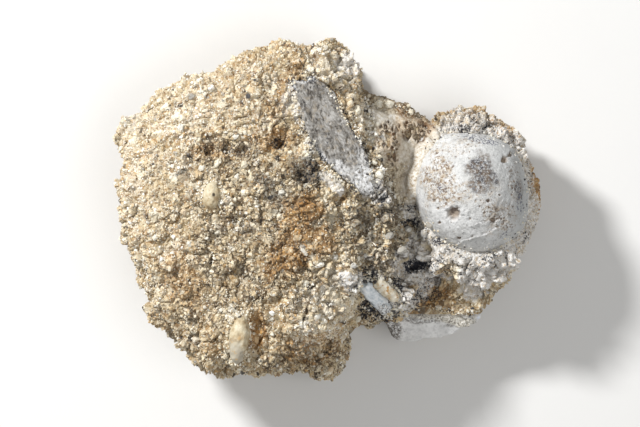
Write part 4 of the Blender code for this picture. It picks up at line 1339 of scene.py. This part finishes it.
def makeSplinterPaint():
    turn = shardLook["turn"]
    paint = Paint("enamelBone")
    streak = paint.noise(0.9, 4, stretch=(6.0, 1, 1), turn=turn)
    colour = paint.ramp(streak, shardLook["enamel"])
    edge = paint.broken("edge", paint.noise(1.0, 4, rough=0.7), 0.42, 0.54)
    colour = paint.mix(edge, colour, shardLook["enamelEdge"])
    crust = paint.broken("crust", paint.noise(0.9, 4, rough=0.7), 0.40, 0.50)
    colour = paint.mix(crust, colour, paint.ramp(paint.noise(0.8, 4, rough=0.75), shardLook["enamelCrust"]))
    rough = paint.grade(paint.noise(1.4, 3), 0.35, 0.65, 0.14, 0.30)
    return paint.finish(colour, rough, paint.bump(streak, 0.07))


def makeChipPaint():
    paint = Paint("amberBone")
    colour = paint.ramp(paint.noise(1.8, 4), shardLook["amber"])
    rust = paint.grade(paint.noise(1.3, 3, rough=0.6), 0.56, 0.64)
    colour = paint.mix(rust, colour, shardLook["amberRust"])
    edge = paint.broken("edge", paint.noise(1.0, 4, rough=0.7), 0.46, 0.56)
    colour = paint.mix(edge, colour, shardLook["amberEdge"])
    return paint.finish(colour, 0.42, paint.bump(paint.noise(0.5, 4), 0.08))


def makeShard(name, node, paint, slotName, seed):
    shard = copyOf(name, node)
    evened(shard, shardLook["step"], 2)
    rest = pointsOf(shard)
    # a little wider than the solid, and broken off ragged at its ends
    turn = math.radians(shardLook["turn"])
    way = np.array([-math.sin(turn), math.cos(turn)])
    across = rest[:, :2] @ way
    middle = (across.min() + across.max()) / 2
    half = (across.max() - across.min()) / 2
    rest[:, :2] += ((shardLook["widen"][node] - 1) * (across - middle))[:, None] * way
    setPoints(shard, rest)
    normals = normalsOf(shard)
    streaks = alongFibres(rest, shardLook["turn"], 4)
    relief = 0.24 * roughness(streaks, 2.0, 3, seed) + 0.22 * roughness(rest, 1.6, 3, seed + 5)
    crust = patches(rest, shardLook["crust"][node], 0.6, seed + 10)
    relief += 0.6 * crust * roughness(rest, 0.9, 2, seed + 15)
    setPoints(shard, rest + normals * relief[:, None])
    store(shard, "edge", ease(np.abs(across - middle) / half, 0.66, 0.95))
    store(shard, "crust", crust)
    finishPiece(shard, paint, slotName, node)
    return shard


# Two smooth pebbles stand out of the matrix face.
pebbleLook = {
    "step": 0.25,
    "spot": [(-37.1, 5.3, 0.5, 0.6, 0, 1.0)],
    "tip": [(-28.7, -34.3, 0.8, 0.6, 0, 1.0)],
    "greyEnd": [(-30.5, -46.5, 3.5, 5.0, 0, 0.9)],
    "tones": [(0.35, (0.36, 0.26, 0.145)), (0.50, (0.54, 0.45, 0.29)), (0.65, (0.69, 0.62, 0.46))],
    "grey": (0.42, 0.39, 0.32),
    "rust": (0.52, 0.33, 0.14),
    "dark": (0.05, 0.035, 0.02),
}


def makePebblePaint():
    paint = Paint("creamPebble")
    colour = paint.ramp(paint.noise(2.4, 4), pebbleLook["tones"])
    colour = paint.mix(paint.maths("MULTIPLY", paint.layer("greyEnd"), 0.8), colour, pebbleLook["grey"])
    rust = paint.grade(paint.noise(1.4, 4, rough=0.65), 0.58, 0.66, 0.0, 0.7)
    colour = paint.mix(rust, colour, pebbleLook["rust"])
    colour = paint.mix(paint.layer("spot"), colour, pebbleLook["dark"])
    return paint.finish(colour, 0.6, paint.bump(paint.noise(0.5, 4), 0.14))


def makePebble(name, node, paint, seed):
    pebble = copyOf(name, node)
    evened(pebble, pebbleLook["step"], 12)
    rest = pointsOf(pebble)
    relief = 0.55 * roughness(rest, 2.6, 4, seed) - 0.25 * speckle(rest, 0.25, 0.8, seed + 5)
    setPoints(pebble, rest + normalsOf(pebble) * relief[:, None])
    store(pebble, "spot", patches(rest, pebbleLook["spot"] + pebbleLook["tip"], 0.3, seed + 10))
    store(pebble, "greyEnd", patches(rest, pebbleLook["greyEnd"], 0.6, seed + 15))
    finishPiece(pebble, paint, "pebble", node)


def lowerRound(points):
    # the matrix stays low round the ball, so that the whole cap shows
    collar = ballLook["collar"]
    reach, angle = fromBall(points)
    beyond = np.maximum(reach - ballOutline(angle) - collar["gap"], 0)
    limit = collar["height"] + collar["slope"] * beyond + 0.7 * roughness(points * (1, 1, 0), 2.2, 3, 66)
    near = (beyond < collar["width"]) & (points[:, 2] > collar["foot"])
    near &= points[:, 0] > ballLook["left"] - 1
    result = points.copy()
    result[:, 2] = np.where(near, np.minimum(points[:, 2], limit), points[:, 2])
    return result


def treesOver(pieces):
    graph = bpy.context.evaluated_depsgraph_get()
    return [BVHTree.FromObject(piece, graph) for piece in pieces]


def sinkUnder(points, pieces, gap, most):
    # the matrix lies below the face of each of these pieces; it also tells which points went down
    moved = points.copy()
    for piece, tree in zip(pieces, treesOver(pieces)):
        low, high = pointsOf(piece).min(axis=0), pointsOf(piece).max(axis=0)
        near = np.all((points[:, :2] > low[:2]) & (points[:, :2] < high[:2]), axis=1)
        near &= points[:, 2] > low[2]
        for index in np.flatnonzero(near):
            x, y, z = points[index]
            top = topOf(tree, x, y)
            if top is not None and top - gap < z < top + most:
                moved[index, 2] = top - gap
    return moved, moved[:, 2] < points[:, 2]


def skinOver(boneNames):
    # one even skin over the matrix and the bones, each bone grown a little
    skin = copyOf("gritMatrix", "matrix_block")
    for name in boneNames:
        bone = copyOf("grown", name)
        setPoints(bone, pointsOf(bone) + matrixLook["grown"] * normalsOf(bone))
        work = bmesh.new()
        work.from_mesh(skin.data)
        work.from_mesh(bone.data)
        work.to_mesh(skin.data)
        work.free()
        bpy.data.objects.remove(bone)
    evened(skin, matrixLook["step"], 3)
    print("matrix skin", len(skin.data.vertices), "points")
    return skin


def matrixRelief(rest, normals, clear):
    # how far the surface of the matrix stands over the skin: broad lumps and clods, then the hollows
    clod = clodRelief(rest)[0]
    up = ease(normals[:, 2], 0.0, 0.5) * ease(rest[:, 2], 12, 20)
    relief = 0.75 * roughness(rest, 9, 2, 11) + 0.35 * roughness(rest, 3.6, 2, 15)
    relief = relief + clod + up * knollRelief(rest)
    for x, y, radius, depth in matrixLook["hollows"]:
        away = awayFrom(rest, x, y) + 0.5 * bumps(rest, 1.6, 71)
        relief -= up * depth * (1 - ease(away, 0.35 * radius, 1.15 * radius))
    # hollows and bulges down the flanks, well clear of the bones
    flank = 1 - ease(np.abs(normals[:, 2]), 0.3, 0.7)
    worn = flank * ease(rest[:, 2], 0.5, 6) * (1 - ease(rest[:, 2], 30, 46))
    worn *= 0.35 + 0.65 * ease(clear, 3, 9)
    wear = matrixLook["flankWear"] + 5.0 * roughness(rest, 24, 2, 17) + 2.0 * roughness(rest, 9, 2, 23)
    relief -= worn * np.maximum(wear, 0)
    grain = grainRelief(rest, matrixLook["grainSize"])[0]
    stone = stoneRelief(rest, normals)[0]
    crusted = zonesOf(rest)["frost"]
    grain = (1 - 0.6 * crusted) * grain + crusted * (0.15 + 0.55 * roughness(rest, 1.9, 3, 19))
    return relief + np.maximum(grain, stone - matrixLook["stoneSunk"]) - 0.25


def makeMatrix(boneNames, pieces, grid):
    skin = skinOver(boneNames)
    rest = lowerUnder(pointsOf(skin), grid, matrixLook["saddleGap"])
    setPoints(skin, rest)
    normals = normalsOf(skin)
    over, cover = saddleOver(rest, grid)
    covered = cover * (rest[:, 2] > over - 3)
    tucked, clear = tuckUnder(rest, boneTrees(boneNames), matrixLook["tuckReach"], matrixLook["tuckDepth"])
    free = ease(clear, 0.5, 1.6) * (1 - 0.9 * covered)
    relief = matrixRelief(rest, normals, clear)
    # the back is nearly flat
    back = ease(rest[:, 2], 0.2, 1.2)
    relief = np.where(back < 0.5, np.abs(relief) * 0.5, relief)
    placed = rest + normals * (relief * free)[:, None]
    placed = np.where((clear < matrixLook["tuckReach"])[:, None], tucked, placed)
    neck = (rest[:, 0] > 12) & (rest[:, 0] < 36) & (rest[:, 1] > 28) & (clear < 1.3)
    placed = withinNeckLine(placed, neck, matrixLook["saddleGap"])
    placed, sunk = sinkUnder(lowerRound(placed), pieces, matrixLook["pieceGap"], matrixLook["pieceReach"])
    setPoints(skin, placed)
    spare = skin.data.attributes.new("rest", "FLOAT_VECTOR", "POINT")
    spare.data.foreach_set("vector", rest.astype(np.float32).ravel())
    store(skin, "bare", ease(clear, 0.5, 1.1) * (covered < 0.4) * back * ~sunk)
    thinned(skin, matrixLook["facets"])
    return skin


def colourMatrix(skin):
    # what the grit material needs to know of each face
    corners = cornersOf(skin)
    middles = storedOn(skin, "rest", 3)[corners].mean(axis=1)
    normals = normalsOf(skin)[corners].mean(axis=1)
    grain, owner, border, dropped = grainRelief(middles, matrixLook["grainSize"])
    crease, shade = clodRelief(middles)[1:]
    stone, stoneOwner = stoneRelief(middles, normals)
    onStone = stone - matrixLook["stoneSunk"] > grain
    zones = zonesOf(middles)
    # the borders of grains and the sunk grains get rust and painted shade from the gap mark
    gap = np.maximum(1 - ease(border, 0.02, 0.28), np.where(dropped, 0.75, 0)) * (1 - 0.65 * zones["frost"])
    marks = {
        "tone": np.where(onStone, 0.25 + 0.6 * cellNumber(stoneOwner, 126), cellNumber(owner, 109)),
        "kind": np.where(onStone, cellNumber(stoneOwner, 127), cellNumber(owner, 110)),
        "gap": np.where(onStone, 0.0, gap),
        "crease": crease,
        "shade": shade,
        "bed": np.where(onStone, 0.3, 1.0),
        **zones,
    }
    for name, values in marks.items():
        store(skin, name, values, "FACE")


# Grains bedded in the face: sand, coarse sand and granules, each one a small many-sided stone.
grainLook = {
    "kinds": 24,
    "fineSand": {"pieces": 2, "count": 12600, "spacing": 0.74, "radius": (0.18, 0.40),
        "corners": 9, "sunk": 0.25, "seed": 21},
    "coarseSand": {"pieces": 1, "count": 2200, "spacing": 1.9, "radius": (0.36, 0.74),
        "corners": 13, "sunk": 0.45, "seed": 31},
    "granules": {"pieces": 1, "count": 180, "spacing": 5.2, "radius": (0.75, 1.4), "corners": 34, "sunk": 0.8,
        "seed": 41},
}


def stoneShapes(corners, kinds, random):
    # closed stones with one number of corners, each the hull of points spread over a ball
    turn = math.pi * (3 - math.sqrt(5))
    number = np.arange(corners)
    height = 1 - (2 * number + 1) / corners
    ring = np.sqrt(1 - height ** 2)
    even = np.stack([ring * np.cos(turn * number), ring * np.sin(turn * number), height], axis=1)
    spots = []
    faces = []
    while len(spots) < kinds:
        spread = even + random.normal(scale=0.9 / math.sqrt(corners), size=even.shape)
        spread /= np.linalg.norm(spread, axis=1)[:, None]
        work = bmesh.new()
        for spot in spread:
            work.verts.new(spot)
        work.verts.index_update()
        bmesh.ops.convex_hull(work, input=work.verts)
        sides = np.array([[vert.index for vert in face.verts] for face in work.faces])
        work.free()
        if sides.shape != (2 * corners - 4, 3):
            continue
        a, b, c = (spread[sides[:, side]] for side in range(3))
        inward = np.einsum("ij,ij->i", np.cross(b - a, c - a), a + b + c) < 0
        sides[inward] = sides[inward][:, ::-1]
        spots.append(spread * random.uniform(0.80, 1.16, size=(corners, 1)))
        faces.append(sides)
    return np.array(spots), np.array(faces)


def turnsOf(count, random):
    # random turns, as one 3 by 3 matrix a stone
    w, x, y, z = random.normal(size=(4, count))
    size = np.sqrt(w * w + x * x + y * y + z * z)
    w, x, y, z = w / size, x / size, y / size, z / size
    rows = [1 - 2 * (y * y + z * z), 2 * (x * y - z * w), 2 * (x * z + y * w), 2 * (x * y + z * w),
        1 - 2 * (x * x + z * z), 2 * (y * z - x * w), 2 * (x * z - y * w), 2 * (y * z + x * w),
        1 - 2 * (x * x + y * y)]
    return np.stack(rows, axis=1).reshape(-1, 3, 3)


def stonesPiece(name, shapes, middles, sizes, turns, marks, random):
    # one object from many stones; marks are the values that each stone has
    spots, faces = shapes
    kinds = random.integers(0, len(spots), len(middles))
    points = np.einsum("nij,nvj->nvi", turns, spots[kinds] * sizes[:, None, :])
    sides = faces[kinds] + (np.arange(len(middles)) * spots.shape[1])[:, None, None]
    piece = pieceFrom(name, (points + middles[:, None, :]).reshape(-1, 3), sides.reshape(-1, 3))
    for mark, values in marks.items():
        store(piece, mark, np.repeat(values, faces.shape[1]), "FACE")
    # each stone has its own square of the map, its upper faces left and its lower faces right
    corners = points.reshape(-1, 3)[sides.reshape(-1, 3)]
    upper = np.cross(corners[:, 1] - corners[:, 0], corners[:, 2] - corners[:, 0])[:, 2] >= 0
    reach = np.repeat(1.15 * sizes.max(axis=1), faces.shape[1])[:, None, None]
    flat = np.clip(0.5 + 0.5 * corners[..., :2] / reach, 0, 1)
    columns = math.ceil(math.sqrt(len(middles)))
    square = np.repeat(np.arange(len(middles)), faces.shape[1])
    flat[..., 0] = 0.02 + 0.44 * flat[..., 0] + np.where(upper, 0, 0.52)[:, None]
    flat[..., 0] += (square % columns)[:, None]
    flat[..., 1] = 0.04 + 0.92 * flat[..., 1] + (square // columns)[:, None]
    layer = piece.data.uv_layers.new(name="OFBake")
    layer.data.foreach_set("uv", (flat / columns).astype(np.float32).ravel())
    finishPiece(piece, grit, "grit_matrix", smooth=False)
    return piece


def marksOf(rest, tone, kind):
    # what the grit material needs to know of each stone
    crease, shade = clodRelief(rest)[1:]
    # grains in creases take half of the painted crease shade
    marks = {"tone": tone, "kind": kind, "gap": 0 * tone, "bed": 0 * tone, "crease": 0.5 * crease,
        "shade": shade}
    marks.update(zonesOf(rest))
    return marks


def bedsOf(skin, saddle):
    # the triangles that grains lie on: corners, places before relief, and how much each one takes
    corners = cornersOf(skin)
    faces = pointsOf(skin)[corners]
    rest = storedOn(skin, "rest", 3)[corners].mean(axis=1)
    wanted = storedOn(skin, "bare")[corners].mean(axis=1)[:, 0]
    saddle.data.calc_loop_triangles()
    corners = numbersOf(saddle.data.loop_triangles, "vertices", sort=np.int32)
    more = pointsOf(saddle)[corners]
    faces = np.concatenate([faces, more])
    rest = np.concatenate([rest, more.mean(axis=1)])
    wanted = np.concatenate([wanted, ease(storedOn(saddle, "rind")[corners].mean(axis=1)[:, 0], 0.4, 0.7)])
    across = np.cross(faces[:, 1] - faces[:, 0], faces[:, 2] - faces[:, 0])
    area = np.linalg.norm(across, axis=1)
    up = across[:, 2] / np.maximum(area, 1e-9)
    # fewer on steep faces, near the back and in the white crust
    share = (1 - 0.8 * zonesOf(rest)["frost"]) * area * (0.30 + 0.70 * ease(up, 0.1, 0.6))
    share *= ease(rest[:, 2], 2, 5)
    wanted = np.where(wanted > 0.5, share, 0)
    return faces, rest, across / np.maximum(area, 1e-9)[:, None], wanted


def makeGrains(name, beds):
    look = grainLook[name]
    faces, rest, normals, wanted = beds
    random = np.random.default_rng(look["seed"])
    most = look["count"] * look["pieces"]
    # many places over the beds, and then one at most in each cell
    picks = random.choice(len(wanted), size=4 * most, p=wanted / wanted.sum())
    shares = random.dirichlet((1, 1, 1), size=len(picks))
    spots = np.einsum("ni,nij->nj", shares, faces[picks])
    cells = np.floor(spots / look["spacing"]).astype(np.int64)
    first = np.sort(np.unique(cells, axis=0, return_index=True)[1])[:most]
    spots, picks = spots[first], picks[first]
    smallest, largest = look["radius"]
    radius = smallest + (largest - smallest) * random.random(len(spots)) ** 1.6
    proud = radius * (random.uniform(-0.1, 0.5, len(spots)) - look["sunk"])
    spots = spots + normals[picks] * proud[:, None]
    sizes = radius[:, None] * random.uniform(0.72, 1.22, size=(len(spots), 3))
    tone = random.random(len(spots))
    kind = random.random(len(spots))
    shapes = stoneShapes(look["corners"], grainLook["kinds"], random)
    # each group of grains is a piece of its own
    share = math.ceil(len(spots) / look["pieces"])
    for part in range(look["pieces"]):
        group = slice(part * share, (part + 1) * share)
        marks = marksOf(rest[picks[group]], tone[group], kind[group])
        label = name if look["pieces"] == 1 else name + "ABCDEFGH"[part]
        turns = turnsOf(len(spots[group]), random)
        stonesPiece(label, shapes, spots[group], sizes[group], turns, marks, random)


# Stones that stand out one by one: x, y, radii along, across and up, degrees, and what they are.
stoneNotes = [
    (-30.3, 24.1, 1.5, 0.9, 0.8, 25, "quartz"), (-27.3, 5.9, 1.2, 1.15, 0.9, 0, "cream"),
    (-40.8, 14.2, 1.4, 1.1, 0.8, 60, "quartz"), (-36.0, 15.5, 1.8, 1.0, 0.9, 50, "cream"),
    (-29.8, 10.7, 1.9, 1.0, 0.8, 80, "quartz"), (-18.8, 4.5, 1.1, 0.8, 0.7, 30, "black"),
    (-15.1, 6.3, 1.1, 0.9, 0.8, 0, "quartz"), (-47.4, 10.9, 1.9, 1.5, 0.9, 20, "brown"),
    (-44.5, 37.3, 1.6, 1.3, 0.9, 10, "grey"), (-52.4, 34.0, 2.0, 1.5, 1.0, 30, "cream"),
    (-7.8, -13.2, 1.9, 0.7, 0.7, -50, "quartz"), (-3.1, -17.7, 2.2, 0.9, 0.8, 15, "white"),
    (-5.5, -14.8, 1.4, 1.0, 0.8, -40, "cream"), (-18.6, -35.0, 1.1, 0.9, 0.8, 0, "quartz"),
    (-3.6, -34.4, 1.5, 1.0, 0.8, 60, "quartz"), (-23.6, -42.0, 1.2, 1.9, 1.1, 0, "amber"),
    (20.2, -8.2, 1.5, 1.2, 1.0, 40, "blue"), (24.5, -12.9, 1.7, 1.3, 1.0, 30, "blue"),
    (16.9, 35.3, 1.4, 1.35, 0.9, 0, "cream"), (13.8, 31.7, 2.0, 0.7, 0.7, 95, "white"),
    (29.5, -9.0, 1.0, 2.2, 0.9, -20, "cream"), (33.9, -4.5, 1.5, 1.2, 0.9, 20, "grey"),
    (-56.0, -8.0, 1.6, 1.2, 0.9, 70, "cream"), (-12.0, 34.0, 1.3, 1.0, 0.8, 10, "cream"),
    (-48.0, 27.0, 1.4, 1.1, 0.8, 40, "quartz"), (9.5, 33.0, 1.2, 1.6, 0.9, 0, "cream"),
    (-38.0, -20.0, 1.5, 1.1, 0.9, 20, "cream"),
]
# tone, kind and crust of each sort of stone
stoneSorts = {
    "white": (0.95, 0.5, 0.6),
    "cream": (0.85, 0.5, 0.0),
    "quartz": (0.9, 0.98, 0.1),
    "grey": (0.5, 0.05, 0.0),
    "blue": (0.7, 0.05, 0.5),
    "black": (0.2, 0.0, 0.0),
    "brown": (0.0, 0.3, 0.0),
    "amber": (0.5, 0.9, 0.0),
}


def landOn(trees, x, y):
    # the height of the highest surface under a place, and whose it is
    best = (-farAway, None)
    for owner, tree in enumerate(trees):
        top = topOf(tree, x, y)
        if top is not None:
            best = max(best, (top, owner))
    return best


def makeStones(trees):
    random = np.random.default_rng(71)
    x, y, along, across, high, degrees = (np.array(column, float) for column in list(zip(*stoneNotes))[:6])
    top = np.array([landOn(trees, *place)[0] for place in zip(x, y)])
    turn = np.radians(degrees)
    still = np.zeros(len(x))
    rows = [np.cos(turn), -np.sin(turn), still, np.sin(turn), np.cos(turn), still, still, still, still + 1]
    turns = np.stack(rows, axis=1)
    # each stone is sunk by about a third of its upright radius
    middles = np.stack([x, y, top - 0.35 * high], axis=1)
    sorts = np.array([stoneSorts[note[6]] for note in stoneNotes])
    marks = marksOf(middles, sorts[:, 0], sorts[:, 1])
    for name in ("amber", "grey", "dark", "pale"):
        marks[name] = 0.3 * marks[name]
    marks["frost"] = sorts[:, 2]
    marks["crease"] = still
    marks["shade"] = still + 0.25
    shapes = stoneShapes(70, 12, random)
    sizes = np.stack([along, across, high], axis=1)
    stonesPiece("standingStones", shapes, middles, sizes, turns.reshape(-1, 3, 3), marks, random)


# Crumbs packed along the edges of the bones: the line, how many, how far they stray, their radius,
# the shares of white, cream, brown and black ones, and which of the trees stay clean of them.
crumbLook = {
    "slabLeft": {
        "line": [(-5.0, 43.6), (-12.6, 42.8), (-10.9, 34.6), (-8.2, 26.0), (-3.0, 16.8), (2.2, 11.4),
            (5.4, 9.2), (11.3, 6.0)],
        "count": 260, "stray": 0.9, "radius": (0.22, 0.60), "shares": (0.40, 0.26, 0.08, 0.26),
    },
    "slabRight": {
        "line": [(-5.0, 43.8), (-0.4, 42.0), (2.0, 38.2), (6.6, 28.8), (9.0, 26.6), (13.0, 18.6),
            (14.4, 12.0), (16.2, 5.4)],
        "count": 170, "stray": 0.7, "radius": (0.22, 0.55), "shares": (0.34, 0.30, 0.10, 0.26),
    },
    "saddleLeft": {
        "line": [(13.0, 37.0), (13.6, 30.0), (15.2, 23.0), (17.0, 17.0), (19.6, 11.0), (22.0, 5.0),
            (25.0, 1.5)],
        "count": 220, "stray": 0.9, "radius": (0.25, 0.85), "shares": (0.30, 0.40, 0.16, 0.14),
    },
    "longPebble": {
        "line": [(-27.0, -32.8), (-31.0, -34.4), (-32.8, -41.0), (-31.4, -49.6), (-27.2, -50.4),
            (-25.2, -44.0), (-25.4, -35.0), (-27.0, -32.8)],
        "count": 190, "stray": 0.6, "radius": (0.22, 0.65), "shares": (0.04, 0.66, 0.28, 0.02),
    },
    "ovalPebble": {
        "line": [(-35.4, 8.8), (-39.6, 9.4), (-41.2, 4.6), (-39.6, 0.0), (-35.6, 0.4), (-34.4, 5.0),
            (-35.4, 8.8)],
        "count": 90, "stray": 0.5, "radius": (0.2, 0.5), "shares": (0.04, 0.62, 0.30, 0.04),
    },
    "shards": {
        "line": [(11.0, -23.6), (9.6, -25.8), (17.8, -33.8), (21.0, -34.6), (24.4, -30.2),
            (21.4, -24.4), (16.0, -21.4), (12.6, -22.6)],
        "count": 280, "stray": 1.1, "radius": (0.24, 0.75), "shares": (0.44, 0.20, 0.06, 0.30),
        "clean": (4, 5, 6),
    },
    "plateTop": {
        "line": [(20.5, -34.4), (25.8, -34.6), (29.8, -35.0), (34.1, -36.4), (40.0, -35.8),
            (45.0, -35.6), (48.6, -32.8)],
        "count": 170, "stray": 0.9, "radius": (0.25, 0.70), "shares": (0.30, 0.34, 0.14, 0.22),
        "clean": (4,),
    },
    "ballFoot": {
        "turns": (196.0, 500.0),
        "count": 260, "stray": 1.0, "radius": (0.16, 0.50), "shares": (0.46, 0.24, 0.10, 0.20),
    },
}


def pathOf(look):
    # the line that a group of crumbs follows
    if "line" in look:
        return np.array(look["line"])
    turns = np.arange(*look["turns"], 4.0)
    reach = ballOutline(turns % 360) + 0.35
    ways = np.stack([np.cos(np.radians(turns)), np.sin(np.radians(turns))], axis=1)
    return ballMiddle[:2] + reach[:, None] * ways


def makeCrumbs(trees):
    random = np.random.default_rng(83)
    spots, sizes, sorts = [], [], []
    for look in crumbLook.values():
        path = pathOf(look)
        steps = np.linalg.norm(np.diff(path, axis=0), axis=1)
        travelled = np.concatenate([[0], np.cumsum(steps)])
        for crumb in range(look["count"]):
            at = random.uniform(0, travelled[-1])
            x = np.interp(at, travelled, path[:, 0]) + random.normal(scale=look["stray"])
            y = np.interp(at, travelled, path[:, 1]) + random.normal(scale=look["stray"])
            smallest, largest = look["radius"]
            radius = smallest + (largest - smallest) * random.random() ** 1.8
            sort = random.choice(["white", "cream", "brown", "black"], p=look["shares"])
            top, owner = landOn(trees, x, y)
            # no crumbs off the block, nor on the pieces that stay clean
            if top < 10 or owner in look.get("clean", ()):
                continue
            spots.append((x, y, top + radius * random.uniform(-0.2, 0.4)))
            sizes.append(radius * random.uniform(0.7, 1.2, 3))
            sorts.append(stoneSorts[str(sort)])
    spots, sizes, sorts = np.array(spots), np.array(sizes), np.array(sorts)
    marks = marksOf(spots, sorts[:, 0] * random.uniform(0.6, 1.0, len(spots)), sorts[:, 1])
    for name in ("amber", "grey", "dark", "crease"):
        marks[name] = 0.3 * marks[name]
    marks["frost"] = sorts[:, 2]
    shapes = stoneShapes(14, 24, random)
    turns = turnsOf(len(spots), random)
    stonesPiece("edgeCrumbs", shapes, spots, sizes, turns, marks, random)


slab = makeSlab()
plate = makePlate()
splinter = makeShard("enamelSplinter", "bone_splinter", makeSplinterPaint(), "enamel_bone", 600)
chip = makeShard("amberChip", "bone_chip", makeChipPaint(), "amber_bone", 640)
pebblePaint = makePebblePaint()
makePebble("ovalPebble", "oval_pebble", pebblePaint, 700)
makePebble("longPebble", "long_pebble", pebblePaint, 730)
saddle, saddleGrid = makeSaddle([bone[2] for bone in boneTrees(["matrix_block", "humerus"])])
ball = makeHumerus(saddleGrid)
boneNames = ["humerus", "shaft_fragment", "bone_plate", "bone_splinter", "bone_chip", "oval_pebble",
    "long_pebble"]
matrix = makeMatrix(boneNames, [slab, splinter, chip], saddleGrid)
colourMatrix(matrix)
finishPiece(matrix, grit, "grit_matrix", "matrix_block", smooth=False)
beds = bedsOf(matrix, saddle)
for spare in ("rest", "bare"):
    matrix.data.attributes.remove(matrix.data.attributes[spare])
trees = treesOver([matrix, saddle, ball, slab, plate, splinter, chip])
for name in ("granules", "coarseSand", "fineSand"):
    makeGrains(name, beds)
makeStones(trees)
makeCrumbs(trees)
